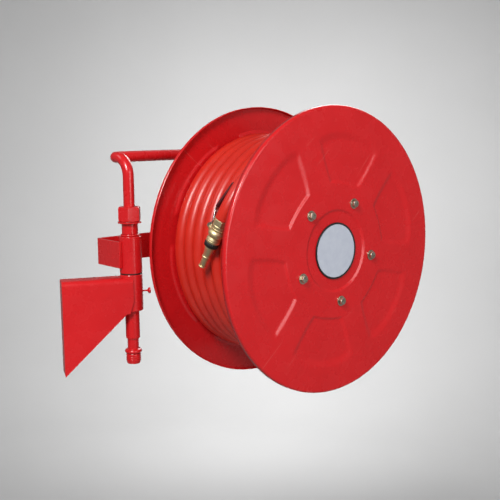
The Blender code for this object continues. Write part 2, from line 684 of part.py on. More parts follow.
def make_core(drum, plate_low):
    """The drum's core tube, with the hose outlet through it."""
    half = DRUM_HALF - SHEET - GAP
    core = ring("drum_core", CORE_R - SHEET, CORE_R, -half, half, "red", DRUM_STEPS, parent=drum)
    hole = solid("core_hole", [(OUTLET_R + GAP, CORE_R + 0.02), (OUTLET_R + GAP, CORE_R - 0.02)], None, 24,
                 parent=drum, place=(0, 0, OUTLET_A), turn=ACROSS, into=CUTTERS)
    cut(core, hole)
    mouth = math.sqrt(CORE_R**2 - OUTLET_R**2) * math.cos(math.pi / DRUM_STEPS) - GAP
    neck = mouth - OUTLET_HEAD_L
    foot = HUB_R + GAP
    outside = [(OUTLET_R - 0.001, mouth), (OUTLET_R, mouth - 0.001), (OUTLET_R, neck), (OUTLET_PIPE_R, neck - 0.002),
               (OUTLET_PIPE_R, foot)]
    turned("hose_outlet", outside + [(OUTLET_BORE_R, foot), (OUTLET_BORE_R, mouth)], "brass", 24, True, parent=drum,
           place=(0, 0, OUTLET_A), turn=ACROSS)


def make_hub(drum):
    """The hub tube that turns on the spindle, and its two bushes."""
    back = -(DRUM_HALF + HUB_TAIL)
    front = DRUM_HALF - FRONT_SPACE - GAP
    tube_piece = ring("hub_tube", HUB_BORE, HUB_R, back, front, "red", 24, 0.001, parent=drum)
    port = solid("hub_port", [(OUTLET_BORE_R, HUB_R + 0.01), (OUTLET_BORE_R, 0)], None, 20, parent=drum,
                 place=(0, 0, OUTLET_A), turn=ACROSS, into=CUTTERS)
    cut(tube_piece, port)
    outer = HUB_BORE - GAP
    ring("bush_front", SPINDLE_R + RUN, outer, front - BUSH_L, front - GAP, "bronze", 24, parent=drum)
    ring("bush_back", SPINDLE_R + RUN, outer, back + GAP, back + BUSH_L, "bronze", 24, parent=drum)


# Hose ---------------------------------------------------------------------------------------------
# The free end of the hose, as (degrees round the drum, distance from the drum's axis, place along it):
# it leaves the last layer near the front disc, comes over the top and lies down on the wound turns.
HOSE_TAIL = [(52, 0.2095, 0.0830), (70, 0.2100, 0.0835), (88, 0.2120, 0.0835), (104, 0.2180, 0.0830),
             (119, 0.2270, 0.0815), (133, 0.2355, 0.0785), (145, 0.2405, 0.0725), (154, 0.2418, 0.0650),
             (162, 0.2420, 0.0550)]
NOZZLE_TIP = (183.8, 0.2390, 0.0030)


def on_drum(degrees, radius, along):
    t = math.radians(degrees)
    return Vector((radius * math.cos(t), radius * math.sin(t), along))


def smooth_line(points, step):
    """Points about `step` apart on a smooth curve through the given ones."""
    out = [points[0]]
    for k in range(len(points) - 1):
        before, a, b, after = (points[min(max(i, 0), len(points) - 1)] for i in (k - 1, k, k + 1, k + 2))
        count = max(1, round((b - a).length / step))
        bend = interpolate_bezier(a, a + (b - before) / 6, b - (after - a) / 6, b, count + 1)
        out += bend[1:]
    return out


def make_hose(drum):
    """The wound hose as its outer shape, and the free end that runs to the nozzle."""
    low, high = LOW_PACK_R, PACK_R
    soft = HOSE_R / 2
    profile = [(low, PACK_HALF), (low, PACK_STEP), (high - soft, PACK_STEP), (high, PACK_STEP - soft),
               (high, -PACK_HALF + soft), (high - soft, -PACK_HALF), (CORE_R + GAP, -PACK_HALF),
               (CORE_R + GAP, PACK_HALF)]
    turned("hose_coil", profile, "hose", DRUM_STEPS, True, parent=drum)
    *points, end = [on_drum(*spot) for spot in HOSE_TAIL]
    aim = (on_drum(*NOZZLE_TIP) - end).normalized()
    line = smooth_line([*points, end - aim * 0.012], 0.04)
    tube("hose_tail", [*line, end], HOSE_R - GAP, "hose", 2, parent=drum)
    return end


def make_nozzle(drum, end):
    """The shut-off nozzle on the hose end: ferrule, ball valve with its lever, ring and jet.

    The nozzle frame has Z towards the tip, Y in to the drum and X along the valve's stem.
    """
    tip = on_drum(*NOZZLE_TIP)
    aim = (tip - end).normalized()
    side = aim.cross(Vector((end.x, end.y, 0))).normalized()
    nozzle = empty("nozzle_frame", drum, end, Matrix((side, aim.cross(side), aim)).transposed().to_euler())
    long = (tip - end).length
    a = FERRULE_L
    b = a + VALVE_L
    c = b + NOZZLE_RING_L
    hexagon("hose_ferrule", FERRULE_AF, GAP, a, 0, "brass", parent=nozzle)
    middle = (a + b) / 2
    half = (b - a - GAP) / 2
    face = middle + GAP / 2
    end_r, bevel = VALVE_END_R, 0.0015
    upper = [(end_r - bevel, half), (end_r, half - 0.001), (end_r, 0.011), (VALVE_R, 0.008)]
    profile = [(r, face + z) for r, z in upper] + [(r, face - z) for r, z in reversed(upper)]
    body = solid("valve_body", profile, "brass", 24, parent=nozzle)
    boss = solid("valve_boss", [(VALVE_STEM_R, VALVE_TOP), (VALVE_STEM_R, 0)], None, 20, parent=nozzle,
                 place=(0, 0, middle), turn=(0, math.radians(90), 0), into=CUTTERS)
    cut(body, boss, "UNION")
    outer = NOZZLE_RING_R
    solid("nozzle_ring", [(outer - bevel, c), (outer, c - bevel), (outer, b + bevel), (outer - bevel, b + GAP)],
          "black", 28, parent=nozzle)
    low = c + GAP
    jet = [(JET_BORE, long), (0.0055, long), (0.0066, long - 0.0012), (0.0066, long - 0.0048),
           (0.0052, long - 0.0065), (0.0060, long - 0.020), (0.0088, low + 0.006), (0.0100, low + 0.003),
           (0.0100, low), (0, low), (0, long - 0.030), (JET_BORE, long - 0.030)]
    turned("nozzle_jet", jet, "brass", 24, True, parent=nozzle)
    make_lever(nozzle, middle)


def make_lever(nozzle, middle):
    """The quarter-turn lever: a cranked strip with a sleeve grip, held by a nut on the stem."""
    pivot = empty("lever_axis", nozzle, (VALVE_TOP + GAP, 0, middle), (0, LEVER_LEAN, math.radians(-90)))
    mid = LEVER_T / 2
    outer = mid + LEVER_CRANK
    line = rounded([(0, mid, 0.007), (0, mid, -0.012), (0, outer, -0.030), (0, outer, -LEVER_L)], LEVER_BEND_R, 4)
    shape = bmesh.new()
    row = [shape.verts.new((-LEVER_W / 2, p.y, p.z)) for p in line]
    edges = [shape.edges.new(pair) for pair in zip(row, row[1:])]
    grown = bmesh.ops.extrude_edge_only(shape, edges=edges)
    moved = [v for v in grown["geom"] if isinstance(v, bmesh.types.BMVert)]
    bmesh.ops.translate(shape, verts=moved, vec=(LEVER_W, 0, 0))
    mesh = bpy.data.meshes.new("valve_lever")
    shape.to_mesh(mesh)
    shape.free()
    item = add("valve_lever", mesh, "steel", parent=pivot)
    thick = item.modifiers.new("thickness", "SOLIDIFY")
    thick.thickness = LEVER_T
    thick.offset = 0
    middle_z = -LEVER_L + GRIP_L / 2 - GRIP_WALL
    grip = box("lever_grip", (LEVER_W + 2 * GRIP_WALL, LEVER_T + 2 * GRIP_WALL, GRIP_L), "wine", 0.0015,
               parent=pivot, place=(0, outer, middle_z))
    slot = box("grip_slot", (LEVER_W + 2 * GAP, LEVER_T + 2 * GAP, GRIP_L), None, 0.0, parent=pivot,
               place=(0, outer, middle_z + GRIP_WALL - GAP), into=CUTTERS)
    cut(grip, slot)
    hexagon("lever_nut", 0.010, 0, 0.005, 0, "zinc", parent=pivot, place=(0, LEVER_T + GAP, 0),
            turn=(math.radians(-90), 0, 0))


def make_lock_screw():
    """The thumb screw in the lower tube that holds the arm where it is set."""
    stem_r, out = 0.0016, PIVOT_R
    profile = [(0.0050, out + 0.0150), (0.0060, out + 0.0138), (0.0060, out + 0.0125), (0.0022, out + 0.0095),
               (stem_r, out + 0.0085), (stem_r, RISER_R + 2 * GAP)]
    solid("lock_screw", profile, "red", 20, place=(0, -PIVOT_OUT, AXIS_Z + LOCK_Z), turn=(math.radians(90), 0, 0))


def main():
    clear_scene()
    make_bracket()
    make_lock_screw()
    swing = empty("swing_frame", None, (0, -PIVOT_OUT, AXIS_Z), (0, 0, REST_SWING))
    make_arm(swing)
    drum = empty("drum_frame", swing, arm_point(DRUM_OFFSET, ARM_REACH, 0), FACING)
    make_drum(drum)
    make_nozzle(drum, make_hose(drum))
    bpy.context.view_layer.update()


main()
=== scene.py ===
# %% [markdown]
# A swinging fire hose reel
#
# The reel is a pressed-steel drum on a strap arm. The arm turns on a pivot tube that a folded bracket
# holds to the wall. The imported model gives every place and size. This script gives each piece its real
# surface: smooth turned metal, pressed panels, wound hose and enamel.

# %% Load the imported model
import json
import math

import bmesh
import bpy
import numpy as np
from mathutils import Euler, Matrix, Vector
from mathutils.geometry import interpolate_bezier

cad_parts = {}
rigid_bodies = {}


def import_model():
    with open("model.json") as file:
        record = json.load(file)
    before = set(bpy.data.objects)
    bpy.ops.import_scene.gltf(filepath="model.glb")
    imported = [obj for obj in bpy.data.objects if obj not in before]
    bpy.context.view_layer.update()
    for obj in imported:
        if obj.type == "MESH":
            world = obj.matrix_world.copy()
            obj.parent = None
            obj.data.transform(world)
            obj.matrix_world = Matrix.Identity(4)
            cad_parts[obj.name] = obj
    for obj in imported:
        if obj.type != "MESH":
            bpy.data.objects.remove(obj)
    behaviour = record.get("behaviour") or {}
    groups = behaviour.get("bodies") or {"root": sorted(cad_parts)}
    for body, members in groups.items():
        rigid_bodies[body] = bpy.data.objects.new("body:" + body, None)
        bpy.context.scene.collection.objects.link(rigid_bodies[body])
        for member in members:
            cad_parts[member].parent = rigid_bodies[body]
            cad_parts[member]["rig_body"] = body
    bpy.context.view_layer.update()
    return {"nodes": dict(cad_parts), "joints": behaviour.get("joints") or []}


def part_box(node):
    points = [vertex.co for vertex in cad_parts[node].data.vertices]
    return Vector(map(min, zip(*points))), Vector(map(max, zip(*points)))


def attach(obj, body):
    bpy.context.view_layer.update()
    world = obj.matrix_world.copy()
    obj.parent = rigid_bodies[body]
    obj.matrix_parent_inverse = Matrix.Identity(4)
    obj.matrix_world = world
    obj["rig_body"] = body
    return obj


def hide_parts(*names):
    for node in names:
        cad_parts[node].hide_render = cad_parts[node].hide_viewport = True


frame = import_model()

# %% [markdown]
# The frames of the moving parts
#
# A turned piece is easiest to describe round its own axis. The joints of the model say where those axes
# are, so matrices are made from them for the pivot, the drum and the lock screw. A piece is modelled
# round the origin and then placed by one of them.

# %% Frames from the joints
UP = Vector((0, 0, 1))
JOINTS = {joint["name"]: joint for joint in frame["joints"]}


def axes(x, y, z, at):
    """A matrix from three directions and a place."""
    turn = Matrix((x, y, z)).transposed()
    return Matrix.Translation(at) @ turn.to_4x4()


FRONT = Vector(JOINTS["drum_spin"]["axis"]).normalized()
OUT = UP.cross(FRONT)
PIVOT_AT = Vector(JOINTS["arm_swing"]["pos_m"])
DRUM = axes(OUT, UP, FRONT, Vector(JOINTS["drum_spin"]["pos_m"]))
SWING = axes(-FRONT, -OUT, UP, PIVOT_AT)
FIXED = Matrix.Translation(PIVOT_AT)
LOCK = axes(Vector((1, 0, 0)), UP, Vector((0, -1, 0)), PIVOT_AT)
SPINDLE = DRUM  # the same axis, for pieces that stay still while the drum turns
print("drum axis", [round(v, 3) for v in FRONT], "pivot", [round(v, 3) for v in PIVOT_AT])

# %% [markdown]
# The camera
#
# The camera stands a little above the reel and looks at it with a short telephoto lens, so the drum's
# two discs show as ellipses of nearly the same size. It is tipped by half a degree.

# %% Camera
LENS = 62.0
CAMERA_AT = Vector((-1.6090, 0.1197, 0.3761))
CAMERA_AIM = Vector((0.9467, -0.2872, -0.1459))
CAMERA_ROLL = math.radians(-0.555)


def make_camera():
    data = bpy.data.cameras.new("camera")
    data.lens = LENS
    data.clip_start, data.clip_end = 0.05, 50
    camera = bpy.data.objects.new("camera", data)
    bpy.context.scene.collection.objects.link(camera)
    look = CAMERA_AIM.normalized()
    right = look.cross(UP).normalized()
    top = right.cross(look)
    camera.matrix_world = axes(right, top, -look, CAMERA_AT) @ Matrix.Rotation(CAMERA_ROLL, 4, "Z")
    bpy.context.scene.camera = camera


make_camera()
print("camera lens", LENS, "mm,", round((DRUM.translation - CAMERA_AT).length, 3), "m from the drum")

# %% [markdown]
# Helpers for materials
#
# Every material is a Principled shader with a few texture nodes in front of it. One function adds a node
# and fills it. Another turns a colour as a designer writes it, in sRGB hex, to the linear light that the
# renderer counts in.

# %% Material helpers
def linear(code):
    """The linear colour of an sRGB hex value."""
    parts = [int(code[i:i + 2], 16) / 255 for i in (1, 3, 5)]
    return [c / 12.92 if c <= 0.04045 else ((c + 0.055) / 1.055) ** 2.4 for c in parts] + [1.0]


def add_node(tree, kind, inputs=(), **settings):
    """Adds a node, sets its properties, and fills inputs with values or links them to sockets."""
    made = tree.nodes.new(kind)
    for key, value in settings.items():
        setattr(made, key, value)
    for key, value in dict(inputs).items():
        if isinstance(value, bpy.types.NodeSocket):
            tree.links.new(value, made.inputs[key])
        else:
            made.inputs[key].default_value = value
    return made


def start(name, **sockets):
    """A new material with its Principled shader and its place on the surface, in metres."""
    made = bpy.data.materials.new(name)
    made.use_nodes = True
    tree = made.node_tree
    shader = tree.nodes["Principled BSDF"]
    for key, value in sockets.items():
        shader.inputs[key.replace("_", " ")].default_value = value
    place = tree.nodes.new("ShaderNodeTexCoord").outputs["Object"]
    return made, tree, shader, place


def mottled(tree, place, size, colours, detail=3.0):
    """Two colours mixed by soft noise whose patches are about `size` metres."""
    cloud = add_node(tree, "ShaderNodeTexNoise", {"Vector": place, "Scale": 1 / size, "Detail": detail})
    ramp = add_node(tree, "ShaderNodeValToRGB", {"Fac": cloud.outputs["Fac"]})
    for stop, at, colour in zip(ramp.color_ramp.elements, (0.3, 0.7), colours):
        stop.position = at
        stop.color = linear(colour)
    return ramp.outputs["Color"]


def assemble(tree, shader, colour, rough, relief=None):
    """Links a colour, a roughness and a relief to the shader."""
    for socket, value in (("Base Color", colour), ("Roughness", rough), ("Normal", relief)):
        if value is not None:
            tree.links.new(value, shader.inputs[socket])


def rough_range(tree, place, size, low, high):
    """Roughness that drifts between two values over patches of about `size` metres."""
    cloud = add_node(tree, "ShaderNodeTexNoise", {"Vector": place, "Scale": 1 / size, "Detail": 4.0})
    spread = add_node(tree, "ShaderNodeMapRange", {"Value": cloud.outputs["Fac"], "From Min": 0.3,
                                                   "From Max": 0.7, "To Min": low, "To Max": high})
    return spread.outputs["Result"]


def bumped(tree, height, depth, strength=1.0):
    inputs = {"Height": height, "Distance": depth, "Strength": strength}
    return add_node(tree, "ShaderNodeBump", inputs).outputs["Normal"]


print("half grey in linear light", round(linear("#808080")[0], 3))

# %% [markdown]
# Red enamel
#
# The steel is sprayed with glossy red enamel and baked. Enamel has a clear top that mirrors the lamps
# sharply over a deep red, and it dries with a faint orange peel, low waves some 3 mm across. Handling
# leaves fine hairline scratches that catch the light, so the discs get a few of those as well.

# %% Red enamel
ENAMEL_REDS = ("#C81419", "#CF181D")
PEEL = 0.003
HAIRLINE_GAP = 0.045
WAVE_UNIT = 0.314  # a wave texture of scale 1 repeats every 0.314 m


def hairlines(tree, place, turn):
    """A thin broken line every few centimetres, slightly wavy, along one direction."""
    turned_to = add_node(tree, "ShaderNodeMapping", {"Vector": place, "Rotation": turn})
    wave = add_node(tree, "ShaderNodeTexWave", {"Vector": turned_to.outputs["Vector"],
                                                "Scale": WAVE_UNIT / HAIRLINE_GAP,
                                                "Distortion": 3.0, "Detail": 1.0, "Detail Scale": 0.6})
    thin = add_node(tree, "ShaderNodeMapRange", {"Value": wave.outputs["Fac"], "From Min": 0.9992,
                                                 "From Max": 1.0})
    patches = add_node(tree, "ShaderNodeTexNoise", {"Vector": place, "Scale": 9.0})
    here = add_node(tree, "ShaderNodeMapRange", {"Value": patches.outputs["Fac"], "From Min": 0.62,
                                                 "From Max": 0.68})
    both = add_node(tree, "ShaderNodeMath", {0: thin.outputs["Result"], 1: here.outputs["Result"]},
                    operation="MULTIPLY")
    return both.outputs["Value"]


def red_enamel(name="red baked enamel", scratched=False):
    made, tree, shader, place = start(name, IOR=1.5, Coat_Weight=0.3, Coat_Roughness=0.1, Coat_IOR=1.5)
    colour = mottled(tree, place, 0.09, ENAMEL_REDS)
    rough = rough_range(tree, place, 0.03, 0.22, 0.32)
    peel = add_node(tree, "ShaderNodeTexNoise", {"Vector": place, "Scale": 1 / PEEL, "Detail": 2.0})
    relief = bumped(tree, peel.outputs["Fac"], 0.0001, 0.5)
    if scratched:
        lines = hairlines(tree, place, (0.3, 0.2, 0.9))
        marked = add_node(tree, "ShaderNodeMix", {"Factor": lines, "A": colour, "B": linear("#DE5A55")},
                          data_type="RGBA")
        colour = marked.outputs["Result"]
    assemble(tree, shader, colour, rough, relief)
    return made


print("orange peel", PEEL, "hairlines every", HAIRLINE_GAP)

# %% [markdown]
# Hose rubber, metals and plastics
#
# The hose is smooth red PVC over a braid whose threads lie about 2 mm apart; here it gets only a faint
# grain of noise about 4 mm across. Brass is turned on a lathe, which leaves rings, and it dulls in the air
# to a browner tone in places. The bolts are zinc plated and passivated yellow, which gives them a straw
# tint.

# %% Other materials
def hose_pvc():
    made, tree, shader, place = start("red braided PVC hose", IOR=1.5, Coat_Weight=0.15, Coat_Roughness=0.2)
    colour = mottled(tree, place, 0.05, ("#C92418", "#D22B1C"))
    rough = rough_range(tree, place, 0.02, 0.30, 0.42)
    grain = add_node(tree, "ShaderNodeTexNoise", {"Vector": place, "Scale": 1 / 0.004, "Detail": 2.0})
    assemble(tree, shader, colour, rough, bumped(tree, grain.outputs["Fac"], 0.0002, 0.5))
    return made


def plated(name, colours, metallic=1.0, rough=(0.25, 0.4), grain=0.0015):
    """A metal with tone, polish and a fine grain that vary a little."""
    made, tree, shader, place = start(name, Metallic=metallic)
    relief = add_node(tree, "ShaderNodeTexNoise", {"Vector": place, "Scale": 1 / grain, "Detail": 3.0})
    assemble(tree, shader, mottled(tree, place, 0.006, colours), rough_range(tree, place, 0.004, *rough),
             bumped(tree, relief.outputs["Fac"], 0.0001, 0.4))
    return made


RING_GAP = 0.0006


def turned_brass():
    """Brass with the rings that a lathe leaves, about 0.6 mm apart, as coarse as they need to show."""
    made, tree, shader, place = start("turned brass", Metallic=1.0)
    rings = add_node(tree, "ShaderNodeTexWave",
                     {"Vector": place, "Scale": WAVE_UNIT / RING_GAP, "Distortion": 0.3},
                     bands_direction="Z")
    assemble(tree, shader, mottled(tree, place, 0.007, ("#E6D3A0", "#F2E2B8")),
             rough_range(tree, place, 0.004, 0.42, 0.56), bumped(tree, rings.outputs["Fac"], 0.00005, 0.3))
    return made


def matt(name, colours, rough=(0.45, 0.6), grain=0.001, depth=0.0001):
    """A plastic or rubber with a fine moulded grain."""
    made, tree, shader, place = start(name, IOR=1.5)
    relief = add_node(tree, "ShaderNodeTexNoise", {"Vector": place, "Scale": 1 / grain, "Detail": 3.0})
    assemble(tree, shader, mottled(tree, place, 0.01, colours), rough_range(tree, place, 0.006, *rough),
             bumped(tree, relief.outputs["Fac"], depth, 0.5))
    return made


ENAMEL = red_enamel()
DISC_ENAMEL = red_enamel("red baked enamel with hairlines", scratched=True)
HOSE = hose_pvc()
BRASS = turned_brass()
ZINC = plated("yellow passivated zinc", ("#B8AE98", "#DCD4C2"))
CHROME = plated("bare steel", ("#A9A9A8", "#C9C8C6"), rough=(0.2, 0.35))
BRONZE = plated("sintered bronze", ("#8E6A3E", "#A67F4C"), rough=(0.4, 0.55))
RUBBER = matt("black rubber", ("#121212", "#1C1B1B"))
GRIP = matt("wine red dipped vinyl", ("#3E0A10", "#5A1018"), rough=(0.35, 0.5))
LABEL = matt("blank printed aluminium label", ("#B4B9C6", "#BCC1CC"), rough=(0.3, 0.4), depth=0.00003)
NYLON = matt("dark nylon", ("#2A1818", "#3A2020"))
print("materials", len(bpy.data.materials))

# %% [markdown]
# The hose
#
# The hose is 27 mm thick and about 30 m long. It starts at the brass outlet in the drum's core and is
# wound in four layers. On a real drum each turn lies in the groove of the layer below for most of its
# round, and moves over to the next groove in one short stretch, where the layers cross. The free end comes
# over the top, lies down on the turns and ends in the nozzle.
#
# A curve with a round bevel is the natural choice: its line is the hose's own centreline, so its length
# can be measured.

# %% Winding
HOSE_D = 0.027
HOSE_R = HOSE_D / 2
CORE_R = 0.1254
INNER_W = 0.2206
TURN_PITCH = INNER_W / int(INNER_W / HOSE_D)
LAYER_PITCH = math.sqrt(HOSE_D**2 - (TURN_PITCH / 2) ** 2)
LAYER_TURNS = (7, 8, 7, 6)
CROSS_FROM, CROSS_TO = 280, 360
TAIL_STEP = 3
TURN_POINTS = 60
HOSE_TAIL = [(52, 0.2095, 0.0830), (70, 0.2100, 0.0835), (88, 0.2120, 0.0835), (104, 0.2180, 0.0830),
             (119, 0.2270, 0.0815), (133, 0.2355, 0.0785), (145, 0.2405, 0.0725), (154, 0.2418, 0.0650),
             (162, 0.2420, 0.0550)]
NOZZLE_TIP = (183.8, 0.2390, 0.0030)


def on_drum(degrees, radius, along):
    t = math.radians(degrees)
    return Vector((radius * math.cos(t), radius * math.sin(t), along))


def layer_slots():
    """The (radius, place along the drum) of every turn, in the order they are wound."""
    slots = []
    for layer, turns in enumerate(LAYER_TURNS):
        radius = CORE_R + HOSE_R + layer * LAYER_PITCH
        first = -INNER_W / 2 + TURN_PITCH * (0.5 if layer % 2 else 1.0)
        row = [(radius, first + k * TURN_PITCH) for k in range(turns)]
        slots += row if layer % 2 else row[::-1]
    return slots


def ease(t):
    t = min(1.0, max(0.0, t))
    return t * t * (3 - 2 * t)


def winding():
    """The wound part: round each slot, over to the next one in the crossing stretch."""
    slots = layer_slots()
    line = []
    for k, (radius, along) in enumerate(slots):
        last = k == len(slots) - 1
        next_radius, next_along = slots[k] if last else slots[k + 1]
        begin = 90 if k == 0 else 0
        cross_end = CROSS_FROM if last else 360
        for step in range(TURN_POINTS):
            degrees = step * 360 / TURN_POINTS
            if degrees < begin or degrees > cross_end:
                continue
            over = ease((degrees - CROSS_FROM) / (CROSS_TO - CROSS_FROM))
            sway = 0.0005 * math.sin(math.radians(degrees * 2 + k * 77))
            line.append(on_drum(degrees, radius + (next_radius - radius) * over,
                                along + (next_along - along) * over + sway))
    return line


def hose_end():
    """Where the hose ends, and the way the nozzle points from there."""
    end = on_drum(*HOSE_TAIL[-1])
    return end, (on_drum(*NOZZLE_TIP) - end).normalized()


def tail_line():
    """The free end: a smooth run round the drum through the tail's places, then a bend into the nozzle."""
    knots = [(CROSS_FROM - 360, *layer_slots()[-1]), *HOSE_TAIL[:-2]]
    angles = [spot[0] for spot in knots]
    spans = [b - a for a, b in zip(angles, angles[1:])]
    slopes = [[(b[axis] - a[axis]) / span for axis in (1, 2)] for a, b, span in zip(knots, knots[1:], spans)]
    at_knots = [(0, 0), *[[(w * p + v * q) / (v + w) for p, q in zip(before, after)]
                          for before, after, v, w in zip(slopes, slopes[1:], spans, spans[1:])], slopes[-1]]
    line = []
    for k, span in enumerate(spans):
        for step in range(round(span / TAIL_STEP)):
            t = step / round(span / TAIL_STEP)
            place = []
            for axis in (0, 1):
                a, b = knots[k][axis + 1], knots[k + 1][axis + 1]
                rise, fall = at_knots[k][axis] * span, at_knots[k + 1][axis] * span
                place.append((1 + 2 * t) * (1 - t)**2 * a + t * (1 - t)**2 * rise
                             + t * t * (3 - 2 * t) * b + t * t * (t - 1) * fall)
            line.append(on_drum(angles[k] + t * span, *place))
    end, aim = hose_end()
    reach = (end - line[-1]).length / 3
    into = (line[-1] - line[-2]).normalized() * reach
    return [*line, *interpolate_bezier(line[-1], line[-1] + into, end - aim * reach, end, 14)[1:]]


def hose_line():
    return [*winding()[:-1], *tail_line()]


layer_radii = [round(CORE_R + HOSE_R + k * LAYER_PITCH, 4) for k in range(len(LAYER_TURNS))]
print("turns", sum(LAYER_TURNS), "layer radii", layer_radii)

# %% [markdown]
# Placing pieces
#
# Every new piece rides on the body that it belongs to and stands for the plain solid of the model. One
# function does all of that, so a piece can't be left behind when a joint moves.


def body_of(node):
    return frame["nodes"][node]["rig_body"]


def piece(name, data, material, where, *nodes):
    """A finished piece in place of the CAD nodes named, on their body."""
    made = bpy.data.objects.new(name, data)
    bpy.context.scene.collection.objects.link(made)
    data.materials.append(material)
    made.matrix_world = where
    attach(made, body_of(nodes[0]))
    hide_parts(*nodes)
    return made


def finished_mesh(name, shape):
    """Turns a bmesh into a mesh and frees it."""
    mesh = bpy.data.meshes.new(name)
    shape.to_mesh(mesh)
    shape.free()
    return mesh


def bent_tube(name, line, radius, resolution):
    """A curve through points, thick as a tube and closed at its ends."""
    curve = bpy.data.curves.new(name, "CURVE")
    curve.dimensions = "3D"
    curve.bevel_depth = radius
    curve.bevel_resolution = resolution
    curve.use_fill_caps = True
    spline = curve.splines.new("POLY")
    spline.points.add(len(line) - 1)
    for spot, point in zip(spline.points, line):
        spot.co = (*point, 1)
    spline.use_smooth = True
    return curve


def soften(item, width, segments=3, degrees=30):
    """Rounds the edges sharper than an angle and shades the rest smooth."""
    item.data.shade_smooth()
    edge = item.modifiers.new("rounded edges", "BEVEL")
    edge.width = width
    edge.segments = segments
    edge.limit_method = "ANGLE"
    edge.angle_limit = math.radians(degrees)
    edge.harden_normals = True
    return item


def measure(node, where):
    """A CAD node's points round an axis: smallest and largest radius, lowest and highest place."""
    back = where.inverted()
    points = [back @ v.co for v in frame["nodes"][node].data.vertices]
    radii = [math.hypot(p.x, p.y) for p in points]
    heights = [p.z for p in points]
    return min(radii), max(radii), min(heights), max(heights)


print("solids to replace or finish", len(frame["nodes"]))

# %% [markdown]
# Hose on the drum
#
# A PVC hose is extruded as one long tube and wound on at the works. Here it is a curve along the line
# from the outlet to the nozzle, with round thickness and closed ends. One curve stands for the wound part
# and the free end, so no seam shows where the hose leaves the winding.

# %% Hose on the drum
def make_hose():
    line = hose_line()
    curve = bent_tube("hose", line, HOSE_R, 6)
    length = sum((b - a).length for a, b in zip(line, line[1:]))
    print("hose", round(length, 3), "m in", len(line), "points")
    return piece("wound_hose", curve, HOSE, DRUM, "hose_coil", "hose_tail"), length


HOSE_PIECE, HOSE_LENGTH = make_hose()

# %% [markdown]
# Turned pieces
#
# Tubes, rings, washers and the nozzle are turned: a profile swept round an axis. A short function does
# that, so the profile may also follow a hexagon. With 96 steps the outline is round at any distance that
# this reel is seen from, and a bevel gives each edge the small radius that catches the light.

# %% Turned pieces
STEPS = 96


def lathe(name, profile, steps=STEPS, closed=True):
    """A mesh turned from (radius, height) points down its outer side, or from a function of the angle."""
    shape = bmesh.new()
    ring = []
    for k in range(steps):
        t = math.tau * k / steps
        points = profile(t) if callable(profile) else profile
        ring.append([shape.verts.new((r * math.cos(t), r * math.sin(t), z)) for r, z in points])
    count = len(ring[0])
    spans = count if closed else count - 1
    for k in range(steps):
        here, after = ring[k], ring[(k + 1) % steps]
        for i in range(spans):
            j = (i + 1) % count
            shape.faces.new((here[i], here[j], after[j], after[i]))
    bmesh.ops.remove_doubles(shape, verts=shape.verts, dist=1e-6)
    bmesh.ops.recalc_face_normals(shape, faces=shape.faces)
    return finished_mesh(name, shape)


def turned(node, profile, material, where, edge=0.0004, closed=True, segments=3):
    mesh = lathe(node, profile, closed=closed)
    return soften(piece(node + "_turned", mesh, material, where, node), edge, segments)


def tube_like(node, where, material, edge):
    """A plain tube or ring with the CAD node's own radii and height."""
    inner, outer, low, high = measure(node, where)
    profile = [(outer, high), (outer, low), (inner, low), (inner, high)]
    return turned(node, profile, material, where, edge)


for name, where, material, edge in (
    ("pivot_tube", FIXED, ENAMEL, 0.0016), ("riser_pipe", FIXED, ENAMEL, 0.0006),
    ("thrust_washer", FIXED, NYLON, 0.0003), ("pivot_sleeve", SWING, ENAMEL, 0.0014),
    ("sleeve_ring", SWING, ENAMEL, 0.0010), ("swivel_neck", SWING, ENAMEL, 0.0004),
    ("union_flange", SWING, ENAMEL, 0.0008),
):
    tube_like(name, where, material, edge)
print("pivot tube radius", round(measure("pivot_tube", FIXED)[1], 4))

# %% [markdown]
# Inlet under the pivot
#
# Water comes in from below. A collar with a round bead holds the riser pipe, and a nipple with a short pipe
# thread waits for the supply. On a lathe both are cut from bar. The thread is made as separate rings, which
# look the same as a spiral at this size.

# %% Inlet under the pivot
def arc(centre, radius, first, last, steps):
    """Points (radius, height) on an arc of a profile, between two angles in degrees."""
    angles = [math.radians(first + (last - first) * k / steps) for k in range(steps + 1)]
    return [(centre[0] + radius * math.cos(t), centre[1] + radius * math.sin(t)) for t in angles]


BEAD_R, BEAD_HALF = 0.004, 0.0048
COLLAR_NECK_R = 0.0106
THREAD_TURNS, THREAD_DEPTH = 4, 0.0009
THREAD_LEAD, THREAD_ENDS = 0.0017, 0.0047  # above the first ring, and above and below all rings


def make_inlet():
    bore, wide, low, high = measure("inlet_collar", FIXED)
    bead_at = low + BEAD_HALF
    bead = arc((wide - BEAD_R, bead_at), BEAD_R, 90, -90, 12)
    collar = [(COLLAR_NECK_R, high), (COLLAR_NECK_R, bead_at + BEAD_HALF), *bead, (wide - BEAD_R, low),
              (bore, low), (bore, high)]
    turned("inlet_collar", collar, ENAMEL, FIXED, 0.0004)
    bore, wide, low, high = measure("inlet_nipple", FIXED)
    root = wide - THREAD_DEPTH
    pitch = (high - low - THREAD_ENDS) / THREAD_TURNS
    thread = [(root, high)]
    for k in range(THREAD_TURNS):
        top = high - THREAD_LEAD - k * pitch
        thread += [(wide, top), (wide, top - 0.35 * pitch), (root, top - 0.7 * pitch)]
    thread += [(root, low + 0.002), (root - THREAD_DEPTH, low), (bore, low), (bore, high)]
    turned("inlet_nipple", thread, ENAMEL, FIXED, 0.0002, segments=2)
    return pitch


print("thread pitch", round(make_inlet(), 5))

# %% [markdown]
# Pressed discs
#
# Each disc is one sheet, pressed so that the centre and six panels sit lower than the ring, the spokes
# and the rim between them. The pressing stiffens the sheet. It is made as a fine open surface whose depth
# comes from a formula, and the Solidify modifier gives it the sheet's thickness. The rim is rolled back
# over a small radius.

